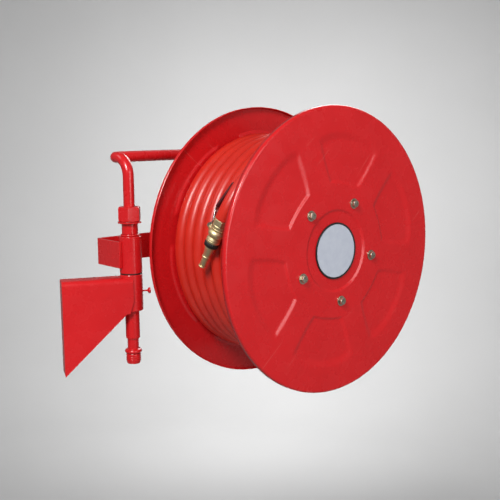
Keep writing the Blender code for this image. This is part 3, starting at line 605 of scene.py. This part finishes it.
# %% Discs
SHEET = 0.0015
DRUM_HALF = 0.1143
DISC_R = 0.275
LIP_R, LIP_DEPTH = 0.004, 0.010
RECESS_DEPTH = 0.0025
CENTRE_RECESS_R = 0.0775
PANEL_INNER_R, PANEL_OUTER_R = 0.127, 0.228
SPOKE_HALF_W = 0.028
SLOPE, SPOKE_SLOPE = 0.006, 0.008
OUTER_SLOPES = {"front_disc": 0.018, "back_disc": 0.006}
PANEL_COUNT = 6
PANEL_PHASE = math.radians(-10)
PANEL_CORNER = 0.012
CORNER_SHARE = 0.35  # how much of the rounded corner goes into the pressing
DISC_STEPS = 360


def pressed_depth(x, y, phase, outer_slope):
    """How deep the sheet is pressed at a place on the disc."""
    r, around = math.hypot(x, y), math.atan2(y, x) - phase
    centre = 1 - ease((r - CENTRE_RECESS_R + SLOPE / 2) / SLOPE)
    sector = math.radians(360 / PANEL_COUNT)
    from_spoke = around - sector * round(around / sector)
    beside = (abs(r * math.sin(from_spoke)) - SPOKE_HALF_W) * SLOPE / SPOKE_SLOPE
    edges = (beside, r - PANEL_INNER_R - SLOPE / 2, (PANEL_OUTER_R - r) * SLOPE / outer_slope - SLOPE / 2)
    inside = -PANEL_CORNER * math.log(sum(math.exp(-e / PANEL_CORNER) for e in edges))
    sharp = min(edges)
    level = CORNER_SHARE * inside + (1 - CORNER_SHARE) * sharp if inside < sharp else sharp
    return RECESS_DEPTH * max(centre, ease(level / SLOPE + 0.5))


def disc_mesh(name, hole, phase, outer_slope):
    radii = [hole] if hole else [0.0]
    radii += list(np.linspace(0.03, CENTRE_RECESS_R - 0.005, 4))
    radii += list(np.linspace(CENTRE_RECESS_R - 0.0035, CENTRE_RECESS_R + 0.0035, 10))
    radii += list(np.linspace(CENTRE_RECESS_R + 0.01, PANEL_INNER_R - 0.006, 4))
    radii += list(np.linspace(PANEL_INNER_R - 0.004, PANEL_INNER_R + 0.012, 18))
    radii += list(np.linspace(PANEL_INNER_R + 0.016, PANEL_OUTER_R - 0.024, 16))
    radii += list(np.linspace(PANEL_OUTER_R - 0.021, PANEL_OUTER_R + 0.003, 25))
    radii += list(np.linspace(PANEL_OUTER_R + 0.01, DISC_R - LIP_R - 0.002, 4))
    shape = bmesh.new()
    rows = []
    profile = [(r, None) for r in radii]
    profile += [(r, z) for r, z in arc((DISC_R - LIP_R, DRUM_HALF - LIP_R), LIP_R, 90, 0, 8)]
    profile.append((DISC_R, DRUM_HALF - LIP_DEPTH))
    for r, z in profile:
        row = []
        for k in range(DISC_STEPS):
            t = math.tau * k / DISC_STEPS
            x, y = r * math.cos(t), r * math.sin(t)
            height = DRUM_HALF - pressed_depth(x, y, phase, outer_slope) if z is None else z
            row.append(shape.verts.new((x, y, height)))
        rows.append(row)
    for inner, outer in zip(rows, rows[1:]):
        for k in range(DISC_STEPS):
            j = (k + 1) % DISC_STEPS
            shape.faces.new((inner[k], outer[k], outer[j], inner[j]))
    bmesh.ops.remove_doubles(shape, verts=shape.verts, dist=1e-6)
    mesh = finished_mesh(name, shape)
    mesh.shade_smooth()
    return mesh


def make_disc(node, where, phase):
    inner = measure(node, where)[0]
    mesh = disc_mesh(node, inner if inner > 0.01 else 0, phase, OUTER_SLOPES[node])
    item = piece(node + "_pressed", mesh, DISC_ENAMEL, where, node)
    sheet = item.modifiers.new("sheet", "SOLIDIFY")
    sheet.thickness = SHEET
    sheet.offset = -1
    return item


BACKWARD = DRUM @ Matrix.Rotation(math.pi, 4, "X")
make_disc("front_disc", DRUM, PANEL_PHASE)
make_disc("back_disc", BACKWARD, -PANEL_PHASE)
print("discs", 2 * DISC_R, "apart", 2 * DRUM_HALF)

# %% [markdown]
# Nuts and bolts
#
# A hexagon is turned down at its corners, which leaves a curved edge on each flat. It is swept like any
# turned piece, with a radius that follows the hexagon as the angle goes round. Each bolt is left at its
# own angle, as a spanner leaves it.

# %% Nuts and bolts
CHAMFER_SHARE = 0.95
HEX_SLOPE = math.tan(math.radians(30))


def hexed(flats, low, high, bore, both=True):
    """The profile, at an angle, of a nut, or of a bolt head that is flat below."""
    def profile(t):
        sixth = math.tau / 6
        off = (t + sixth / 2) % sixth - sixth / 2
        r = flats / 2 / math.cos(off)
        circle = flats / 2 * CHAMFER_SHARE
        drop = (r - circle) * HEX_SLOPE
        under = [(r, low + drop), (circle, low)] if both else [(r, low)]
        return [(circle, high), (r, high - drop), *under, (bore, low), (bore, high)]
    return profile


def own_axis(node, where):
    """The frame with its Z moved to the middle of a node."""
    back = where.inverted()
    points = [back @ v.co for v in frame["nodes"][node].data.vertices]
    middle = [(min(p[i] for p in points) + max(p[i] for p in points)) / 2 for i in (0, 1)]
    return where @ Matrix.Translation((*middle, 0))


def make_nut(node, flats, where, material):
    inner, _, low, high = measure(node, where)
    return turned(node, hexed(flats, low, high, inner), material, where, 0.0004, segments=2)


def make_bolt(node, flats, head, shank, where, material, angle):
    """A hexagon-head bolt: the head on its seat and the shank down through it."""
    where = own_axis(node, where) @ Matrix.Rotation(angle, 4, "Z")
    _, _, end, top = measure(node, where)
    seat = top - head

    def profile(t):
        outline = hexed(flats, seat, top, 0, False)(t)
        return [(0, top), *outline[:3], (shank, seat), (shank, end), (0, end)]
    return turned(node, profile, material, where, 0.0003, closed=False, segments=2)


ANCHOR = axes(Vector((1, 0, 0)), UP, Vector((0, -1, 0)), Vector((0, 0, 0)))
UNION_NUT_AF = 0.039
UNION_NUT_TURN = math.radians(-10.4)
DRUM_BOLT = (0.013, 0.0055, 0.004)  # across flats, head height, shank radius
ANCHOR_BOLT = (0.017, 0.007, 0.005)
make_nut("union_nut", UNION_NUT_AF, SWING @ Matrix.Rotation(UNION_NUT_TURN, 4, "Z"), ENAMEL)
for k in range(1, 6):
    turn = 0.35 + 0.83 * k
    washer_at = own_axis(f"washer_front_{k}", DRUM)
    tube_like(f"washer_front_{k}", washer_at, ZINC, 0.0003)
    make_bolt(f"bolt_front_{k}", *DRUM_BOLT, DRUM, ZINC, turn)
    make_bolt(f"bolt_back_{k}", *DRUM_BOLT, BACKWARD, ZINC, turn)
for k in (1, 2):
    tube_like(f"anchor_washer_{k}", own_axis(f"anchor_washer_{k}", ANCHOR), ZINC, 0.0003)
    make_bolt(f"anchor_bolt_{k}", *ANCHOR_BOLT, ANCHOR, ZINC, 0.4 * k)
print("bolts", 12, "across flats", DRUM_BOLT[0], ANCHOR_BOLT[0])

# %% [markdown]
# Label and lock screw
#
# The centre of the front disc carries a round aluminium label in a thin dark ring. It is left blank. The
# lock screw is a small turned pin with a flat knob.

# %% Label and lock screw
def make_label():
    _, outer, low, high = measure("label_plate", DRUM)
    profile = [(0, high), (outer, high), (outer, low), (0, low)]
    turned("label_plate", profile, LABEL, DRUM, 0.0004, closed=False)
    tube_like("label_ring", DRUM, RUBBER, 0.0006)


def make_lock_screw():
    back = LOCK_AXIS.inverted()
    reach = sorted((back @ v.co).z for v in frame["nodes"]["lock_screw"].data.vertices)
    tip, top = reach[0], reach[-1]
    knob = arc((0.0040, top - 0.0020), 0.0020, 90, -60, 8)
    profile = [(0, top), *knob, (0.0022, top - 0.0055), (0.0016, top - 0.0065), (0.0016, tip), (0, tip)]
    turned("lock_screw", profile, ENAMEL, LOCK_AXIS, 0.0002, closed=False, segments=2)


lock_low, lock_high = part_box("lock_screw")
LOCK_AXIS = Matrix.Translation((0, 0, (lock_low.z + lock_high.z) / 2 - PIVOT_AT.z)) @ LOCK
make_label()
make_lock_screw()
print("label radius", round(measure("label_plate", DRUM)[1], 4))

# %% [markdown]
# Bends and folds
#
# The next pieces are bent, folded, cut and joined. A few functions do the common steps: rounding the
# corners of a line, extruding it, and cutting or joining one shape with another. The cuts are made once,
# and their cutters removed.

# %% Bends and cuts
def rounded(points, radius, steps=14):
    """The polyline through points with its corners rounded by arcs; the ends stay."""
    out = [Vector(points[0])]
    for a, b, c in zip(points, points[1:], points[2:]):
        a, b, c = Vector(a), Vector(b), Vector(c)
        into, away = (a - b).normalized(), (c - b).normalized()
        half = into.angle(away) / 2
        reach = radius / math.tan(half)
        centre = b + (into + away).normalized() * radius / math.sin(half)
        first = (b + into * reach - centre).normalized()
        last = (b + away * reach - centre).normalized()
        out += [centre + first.slerp(last, k / steps) * radius for k in range(steps + 1)]
    return [*out, Vector(points[-1])]


def bake(item):
    """Turns an object's modifiers into its mesh."""
    bpy.context.view_layer.update()
    seen = item.evaluated_get(bpy.context.evaluated_depsgraph_get())
    made = bpy.data.meshes.new_from_object(seen)
    item.modifiers.clear()
    item.data = made


def combine(item, mesh, where, operation="DIFFERENCE"):
    """Cuts or joins a mesh, placed by a matrix, into an object, and removes the tool."""
    tool = bpy.data.objects.new("tool", mesh)
    bpy.context.scene.collection.objects.link(tool)
    tool.matrix_world = where
    step = item.modifiers.new("combine", "BOOLEAN")
    step.operation = operation
    step.object = tool
    step.solver = "EXACT"
    bake(item)
    bpy.data.objects.remove(tool)


def rod(radius, low, high, steps=STEPS):
    return lathe("rod", [(0, high), (radius, high), (radius, low), (0, low)], steps, False)


def extruded(name, line, vector):
    """A strip made by moving a polyline along a vector."""
    shape = bmesh.new()
    row = [shape.verts.new(p) for p in line]
    edges = [shape.edges.new(pair) for pair in zip(row, row[1:])]
    grown = bmesh.ops.extrude_edge_only(shape, edges=edges)
    moved = [v for v in grown["geom"] if isinstance(v, bmesh.types.BMVert)]
    bmesh.ops.translate(shape, verts=moved, vec=vector)
    return finished_mesh(name, shape)


print("a corner of radius 0.01 rounded in", len(rounded([(0, 0, 0), (1, 0, 0), (1, 1, 0)], 0.01)), "points")

# %% [markdown]
# Strap and feed pipe
#
# The strap is one flat bar with a bend, welded to the sleeve, and the feed pipe is bent from one tube. The
# strap is a strip with thickness. The pipe is a curve with round thickness, like the hose.

# %% Strap and feed pipe
STRAP_H, STRAP_T = 0.050, 0.006
SPINDLE_R, FEED_R, GAP = 0.0135, 0.0105, 0.0003
DRUM_OFFSET, ARM_REACH, ARM_PLANE, FEED_PLANE = 0.133, 0.303, 0.212, 0.187
PIVOT_R = 0.0212
FEED_Z = 0.181


def arm_point(forward, out, up):
    """A place in the swing frame: forward along the drum's axis, out along the arm, up."""
    return Vector((-forward, -out, up))


def make_strap():
    leg = -(PIVOT_R + GAP + STRAP_T / 2)
    back = DRUM_OFFSET - ARM_PLANE
    line = rounded([arm_point(0.004, leg, -STRAP_H / 2), arm_point(back, leg, -STRAP_H / 2),
                    arm_point(back, ARM_REACH + 0.045, -STRAP_H / 2)], 0.010)
    item = piece("arm_strap_bent", extruded("strap", line, (0, 0, STRAP_H)), ENAMEL, SWING, "arm_strap")
    bar = item.modifiers.new("bar", "SOLIDIFY")
    bar.thickness = STRAP_T
    bar.offset = 0
    bar.use_even_offset = True
    bake(item)
    combine(item, rod(SPINDLE_R + GAP, -ARM_PLANE - 0.02, -ARM_PLANE + 0.02), DRUM)
    return soften(item, 0.0009)


def make_feed_pipe():
    forward = DRUM_OFFSET - FEED_PLANE
    _, _, low, _ = measure("feed_pipe", SWING)
    block_top = SPINDLE_R + 0.0105 + 0.012
    turn = arm_point(forward, 0, FEED_Z)
    rise = rounded([(0, 0, low), (0, 0, FEED_Z), turn], 0.034)[:-1]
    line = [*rise, *rounded([rise[-1], turn, arm_point(forward, ARM_REACH, FEED_Z),
                             arm_point(forward, ARM_REACH, block_top + 0.004)], 0.018)[1:]]
    return piece("feed_pipe_bent", bent_tube("feed_pipe", line, FEED_R, 10), ENAMEL, SWING, "feed_pipe")


make_strap()
make_feed_pipe()
print("strap", STRAP_H, "x", STRAP_T, "feed pipe", 2 * FEED_R)

# %% [markdown]
# Bracket
#
# The bracket is folded from sheet: a top and two cheeks that taper towards the pivot. It is an extruded
# outline whose two long top edges are rounded, hollowed from below and cut to fit the pivot tube.

# %% Bracket
BRACKET_SHEET = 0.003
OUTER_FOLD, INNER_FOLD = 0.010, 0.007
CHEEK_STEP, CHEEK_TIP = 0.045, 0.068  # below the top: the cheek's upper step and its lower tip


def round_long_edges(shape, height, radius, segments):
    """Rounds the two edges at a height that run away from the wall."""
    folds = [e for e in shape.edges if all(abs(v.co.z - height) < 1e-6 for v in e.verts)
             and abs(e.verts[0].co.x - e.verts[1].co.x) < 1e-6]
    bmesh.ops.bevel(shape, geom=folds, offset=radius, segments=segments, profile=0.5, affect="EDGES")


def make_bracket():
    low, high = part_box("bracket_channel")
    top, side = high.z, high.x
    tube_low = measure("pivot_tube", FIXED)[2] + PIVOT_AT.z
    y_pivot = PIVOT_AT.y
    tip = y_pivot + PIVOT_R * 0.35
    low_tip = top - CHEEK_TIP
    outline = [(-GAP, top), (y_pivot, top), (y_pivot, top - CHEEK_STEP), (tip, low_tip),
               (tip + 0.006, low_tip), (-GAP, low.z)]
    shape = bmesh.new()
    face = shape.faces.new([shape.verts.new((-side, y, z)) for y, z in outline])
    grown = bmesh.ops.extrude_face_region(shape, geom=[face])
    moved = [v for v in grown["geom"] if isinstance(v, bmesh.types.BMVert)]
    bmesh.ops.translate(shape, verts=moved, vec=(2 * side, 0, 0))
    round_long_edges(shape, top, OUTER_FOLD, 12)
    bmesh.ops.recalc_face_normals(shape, faces=shape.faces)
    item = piece("bracket_channel_folded", finished_mesh("bracket", shape), ENAMEL, Matrix.Identity(4),
                 "bracket_channel")
    shape = bmesh.new()
    bmesh.ops.create_cube(shape, size=1, matrix=Matrix.Translation((0, 0, top - BRACKET_SHEET - 0.5))
                          @ Matrix.Diagonal((2 * (side - BRACKET_SHEET), 1, 1, 1)))
    round_long_edges(shape, top - BRACKET_SHEET, INNER_FOLD, 8)
    combine(item, finished_mesh("hollow", shape), Matrix.Identity(4))
    combine(item, rod(PIVOT_R + GAP, tube_low - 0.02 - PIVOT_AT.z, top + 0.05 - PIVOT_AT.z), FIXED)
    return soften(item, 0.0006, 2)


make_bracket()
print("bracket sheet", BRACKET_SHEET, "folds", OUTER_FOLD, INNER_FOLD)

# %% [markdown]
# Spindle and water block
#
# The spindle is held in the strap between two nuts. Water comes down the feed pipe to a block on the
# spindle's rear end, so the block is a short turned body with a boss on top, joined as one casting.

# %% Spindle and water block
BLOCK_WALL = 0.0105
BOSS_R, BOSS_H, BOSS_FLOOR = 0.016, 0.012, 0.011
BLOCK_NUT_AF, SPINDLE_NUT_AF = 0.034, 0.036
SPINDLE_WALL, SPINDLE_END = 0.004, 0.03


def make_block():
    inner, _, low, high = measure("water_block", SPINDLE)
    outer = SPINDLE_R + BLOCK_WALL
    profile = [(outer, high), (outer, low), (inner, low), (inner, high)]
    body = turned("water_block", profile, ENAMEL, SPINDLE, 0.001)
    body.modifiers.clear()
    boss_at = axes(OUT, -FRONT, UP, SPINDLE @ Vector((0, 0, -FEED_PLANE)))
    combine(body, rod(BOSS_R, 0, outer + BOSS_H), boss_at, "UNION")
    combine(body, rod(inner, -0.05, 0.05), SPINDLE @ Matrix.Translation((0, 0, -FEED_PLANE)))
    combine(body, rod(FEED_R + GAP, outer + BOSS_FLOOR, outer + 0.03), boss_at)
    soften(body, 0.0012)
    make_nut("block_nut", BLOCK_NUT_AF, boss_at, ENAMEL)


def make_spindle():
    _, outer, low, high = measure("spindle", SPINDLE)
    bore = outer - SPINDLE_WALL
    floor = high - SPINDLE_END
    profile = [(0, high), (outer, high), (outer, low), (bore, low), (bore, floor), (0, floor)]
    turned("spindle", profile, CHROME, SPINDLE, 0.001, closed=False)
    make_nut("spindle_nut_back", SPINDLE_NUT_AF, SPINDLE, ZINC)
    tube_like("hub_tube", DRUM, ENAMEL, 0.0008)


make_block()
make_spindle()
print("spindle", 2 * SPINDLE_R)

# %% [markdown]
# Nozzle
#
# The hose ends in a brass shut-off nozzle: a hexagon ferrule, a ball valve, a ribbed rubber ring and a
# tapered jet with a rolled lip. All are turned parts, so each is a profile round the nozzle's axis. The
# stem is joined to the valve body, since the two read as one casting.

# %% Nozzle
HOSE_END, NOZZLE_AIM = hose_end()
NOZZLE_SIDE = NOZZLE_AIM.cross(Vector((HOSE_END.x, HOSE_END.y, 0))).normalized()
NOZZLE = DRUM @ axes(NOZZLE_SIDE, NOZZLE_AIM.cross(NOZZLE_SIDE), NOZZLE_AIM, HOSE_END)
RIB_COUNT, RIB_DEPTH, RING_EDGE = 24, 0.0006, 0.0013
FERRULE_AF = 0.026
JET_BORE_R, JET_BORE_DEPTH = 0.0035, 0.03
LIP_CENTRE_R, LIP_ROUND = 0.0054, 0.0017


def capped_hex(node, flats, low, high, material, where, edge):
    """A solid hexagon, chamfered at both ends."""
    outline = hexed(flats, low, high, 0)
    turned(node, lambda t: [(0, high), *outline(t)[:4], (0, low)], material, where, edge, closed=False,
           segments=2)


def make_nozzle():
    _, _, low, high = measure("hose_ferrule", NOZZLE)
    capped_hex("hose_ferrule", FERRULE_AF, low, high, BRASS, NOZZLE, 0.0004)
    _, _, low, high = measure("valve_body", NOZZLE)
    middle = (low + high) / 2
    half = (high - low) / 2
    waist = [(0.0118, half), (0.0130, half - 0.0012), (0.0130, half - 0.0045), (0.0122, half - 0.0052),
             (0.0122, half - 0.0066), (0.0132, half - 0.0074), *arc((0.0065, 0), 0.0085, 55, 0, 8)]
    outline = [(r, middle + z) for r, z in waist] + [(r, middle - z) for r, z in reversed(waist[:-1])]
    body = turned("valve_body", [(0, high), *outline, (0, low)], BRASS, NOZZLE, 0.0003, closed=False)
    body.modifiers.clear()
    stem_at = NOZZLE @ Matrix.Translation((0, 0, middle)) @ Matrix.Rotation(math.pi / 2, 4, "Y")
    stem = lathe("stem", [(0, 0.021), (0.0065, 0.021), (0.0065, 0.0175), (0.0054, 0.017), (0.0054, 0.0155),
                          (0.0070, 0.015), (0.0070, 0), (0, 0)], 48, False)
    combine(body, stem, stem_at, "UNION")
    soften(body, 0.0003, 2)
    _, outer, low, high = measure("nozzle_ring", NOZZLE)

    def ribbed(t):
        r = outer - RIB_DEPTH * ease(math.cos(RIB_COUNT * t) + 0.5)
        return [(0, high), (r - RING_EDGE, high), (r, high - RING_EDGE), (r, low + RING_EDGE),
                (r - RING_EDGE, low), (0, low)]
    item = piece("nozzle_ring_ribbed", lathe("ring", ribbed, 192, False), RUBBER, NOZZLE, "nozzle_ring")
    item.data.shade_smooth()
    _, _, low, tip = measure("nozzle_jet", NOZZLE)
    lip = arc((LIP_CENTRE_R, tip - 0.0020), LIP_ROUND, 90, -80, 10)
    cone = [(0.0061, tip - 0.0045), (0.0064, tip - 0.020), (0.0078, tip - 0.0215), (0.0078, tip - 0.0240),
            (0.0068, tip - 0.0250), (0.0088, low + 0.006), (0.0100, low + 0.004), (0.0100, low), (0, low)]
    floor = tip - JET_BORE_DEPTH
    profile = [(JET_BORE_R, tip), (LIP_CENTRE_R, tip), *lip, *cone, (0, floor), (JET_BORE_R, floor)]
    turned("nozzle_jet", profile, BRASS, NOZZLE, 0.0002, segments=2)
    return middle


LEVER_PLACE = make_nozzle()
print("lever's place along the nozzle", round(LEVER_PLACE, 4))

# %% [markdown]
# Lever of the shut-off valve
#
# The lever is punched from flat steel, cranked so that it clears the hose, and dipped in vinyl for a grip.
# A small nut holds it on the stem. The lever is a strip with thickness. The grip is a soft-edged section
# that follows it, rounded at both ends.

# %% Lever
LEVER_W, LEVER_T, LEVER_CRANK, LEVER_L = 0.010, 0.0025, 0.014, 0.088
GRIP_L, GRIP_WALL = 0.056, 0.002
VALVE_TOP = 0.0210
LEVER_EYE = 0.0065  # how far the lever's rounded end reaches past the stem
LEVER_NUT_AF, LEVER_NUT_H = 0.010, 0.005


def make_lever(middle):
    lean = Euler((0, math.radians(15), math.radians(-90))).to_matrix().to_4x4()
    where = NOZZLE @ Matrix.Translation((VALVE_TOP + GAP, 0, middle)) @ lean
    face = LEVER_T / 2
    outer = face + LEVER_CRANK
    places = ((face, LEVER_EYE), (face, -0.012), (outer, -0.030), (outer, -LEVER_L))
    line = rounded([(0, y, z) for y, z in places], 0.006, 8)
    end_row = [Vector((0, face, LEVER_EYE - LEVER_EYE * (1 - math.cos(a))))
               for a in np.linspace(0.35, math.pi / 2, 6)]
    line = [*end_row, *line[1:]]
    shape = bmesh.new()
    rows = []
    for point in line:
        inset = max(0.0, point.z) / LEVER_EYE if abs(point.y - face) < 1e-6 else 0.0
        half = LEVER_W / 2 * math.sqrt(max(0.02, 1 - min(1.0, inset) ** 2))
        rows.append([shape.verts.new((side * half, point.y, point.z)) for side in (-1, 1)])
    for a, b in zip(rows, rows[1:]):
        shape.faces.new((a[0], a[1], b[1], b[0]))
    bmesh.ops.recalc_face_normals(shape, faces=shape.faces)
    item = piece("valve_lever_cranked", finished_mesh("lever", shape), CHROME, where, "valve_lever")
    plate = item.modifiers.new("plate", "SOLIDIFY")
    plate.thickness = LEVER_T
    plate.offset = 0
    soften(item, 0.0006, 3, 50)
    make_grip(where, outer)
    nut_at = where @ Matrix.Rotation(-math.pi / 2, 4, "X")
    low = LEVER_T + GAP
    capped_hex("lever_nut", LEVER_NUT_AF, low, low + LEVER_NUT_H, ZINC, nut_at, 0.0003)


def make_grip(where, outer):
    """A dipped sleeve: a soft-edged section along the lever, rounded at both ends, with shallow ribs."""
    wide, thick = LEVER_W / 2 + GRIP_WALL, LEVER_T / 2 + GRIP_WALL
    far = -LEVER_L - GRIP_WALL
    rows, around = 60, 28
    shape = bmesh.new()
    rings = []
    for i in range(rows + 1):
        s = i / rows
        z = far + s * GRIP_L
        closing = min(1.0, s * GRIP_L / 0.004, (1 - s) * GRIP_L / 0.0015)
        scale = math.sqrt(max(0.05, 1 - (1 - closing) ** 2))
        rib = 0.0002 * math.cos(s * GRIP_L / 0.004 * math.tau) if 0.15 < s < 0.8 else 0.0
        ring = []
        for k in range(around):
            t = math.tau * k / around
            c, d = math.cos(t), math.sin(t)
            x = math.copysign(abs(c) ** 0.55, c) * (wide + rib - 0.0002) * scale
            y = math.copysign(abs(d) ** 0.55, d) * (thick + rib - 0.0002) * scale
            ring.append(shape.verts.new((x, outer + y, z)))
        rings.append(ring)
    for a, b in zip(rings, rings[1:]):
        for k in range(around):
            j = (k + 1) % around
            shape.faces.new((a[k], a[j], b[j], b[k]))
    shape.faces.new(rings[0][::-1])
    shape.faces.new(rings[-1])
    bmesh.ops.recalc_face_normals(shape, faces=shape.faces)
    mesh = finished_mesh("grip", shape)
    mesh.shade_smooth()
    return piece("lever_grip_dipped", mesh, GRIP, where, "lever_grip")


make_lever(LEVER_PLACE)
print("lever", LEVER_L, "grip", GRIP_L)

# %% [markdown]
# Inner pieces
#
# The rest of the model is inside the drum or against the wall: hub plates, bushes, core, outlet, wall
# plate. Their plain solids have the right shape, so they stay, and only take a finish.

# %% Finish of the pieces that stay
INNER = {"wall_plate": ENAMEL, "drum_core": ENAMEL, "hub_plate_front": ENAMEL, "hub_plate_back": ENAMEL,
         "bush_front": BRONZE, "bush_back": BRONZE, "hose_outlet": BRASS, "spindle_washer": ZINC,
         "spindle_nut_front": ZINC}
for name, material in INNER.items():
    data = frame["nodes"][name].data
    data.materials.clear()
    data.materials.append(material)
left = [n for n, o in frame["nodes"].items() if not o.hide_render and n not in INNER]
print("plain nodes still showing:", left)

# %% [markdown]
# Stage and lights
#
# A pale floor that curves up into a wall all round stands for a studio's paper roll. It isn't seen in
# reflections, so the paint keeps its deep red. A key lamp from the upper left shapes the pressed panels, a
# weaker fill lifts the other side, and lamps behind the reel light the wall and the reel's edges.

# %% Stage
FLOOR_Z = -1.2


def make_stage():
    """A pale floor that curves up into a wall all round, so it has no edge from any side."""
    radius, bend, top = 4.2, 1.4, 4.5
    profile = [(0, FLOOR_Z)] + [(radius - bend + bend * math.sin(t), FLOOR_Z + bend - bend * math.cos(t))
                                for t in np.linspace(0, math.pi / 2, 16)] + [(radius, top)]
    mesh = lathe("stage", profile, 128, closed=False)
    mesh.shade_smooth()
    floor = bpy.data.objects.new("stage", mesh)
    bpy.context.scene.collection.objects.link(floor)
    made, tree, shader, place = start("pale studio paint", IOR=1.45)
    colour = mottled(tree, place, 0.8, ("#BEBEBE", "#C2C2C2"))
    assemble(tree, shader, colour, rough_range(tree, place, 0.5, 0.85, 0.95))
    mesh.materials.append(made)
    floor.visible_glossy = False


def area_light(name, at, aim, size, power, spread=180):
    data = bpy.data.lights.new(name, "AREA")
    data.shape = "DISK"
    data.size = size
    data.energy = power
    data.spread = math.radians(spread)
    lamp = bpy.data.objects.new(name, data)
    bpy.context.scene.collection.objects.link(lamp)
    lamp.location = at
    lamp.rotation_euler = (Vector(aim) - Vector(at)).to_track_quat("-Z", "Y").to_euler()


make_stage()
target = DRUM.translation
area_light("key", (-1.9, 1.0, 1.9), target, 1.0, 80)
area_light("fill", (-1.9, -1.5, 0.5), target, 1.6, 20)
area_light("rim", (0.6, 1.6, 2.0), target, 1.0, 5)
area_light("backdrop", (1.8, -0.95, 0.5), (4.0, -1.66, -0.7), 0.5, 35, 150)
area_light("back", (2.0, -1.7, 1.4), target, 1.4, 30)
world = bpy.data.worlds.new("world")
world.use_nodes = True
world.node_tree.nodes["Background"].inputs["Color"].default_value = linear("#F4F4F4")
world.node_tree.nodes["Background"].inputs["Strength"].default_value = 0.18
bpy.context.scene.world = world
bpy.context.scene.view_settings.view_transform = "Standard"
print("lamps", len(bpy.data.lights), "floor at", FLOOR_Z)
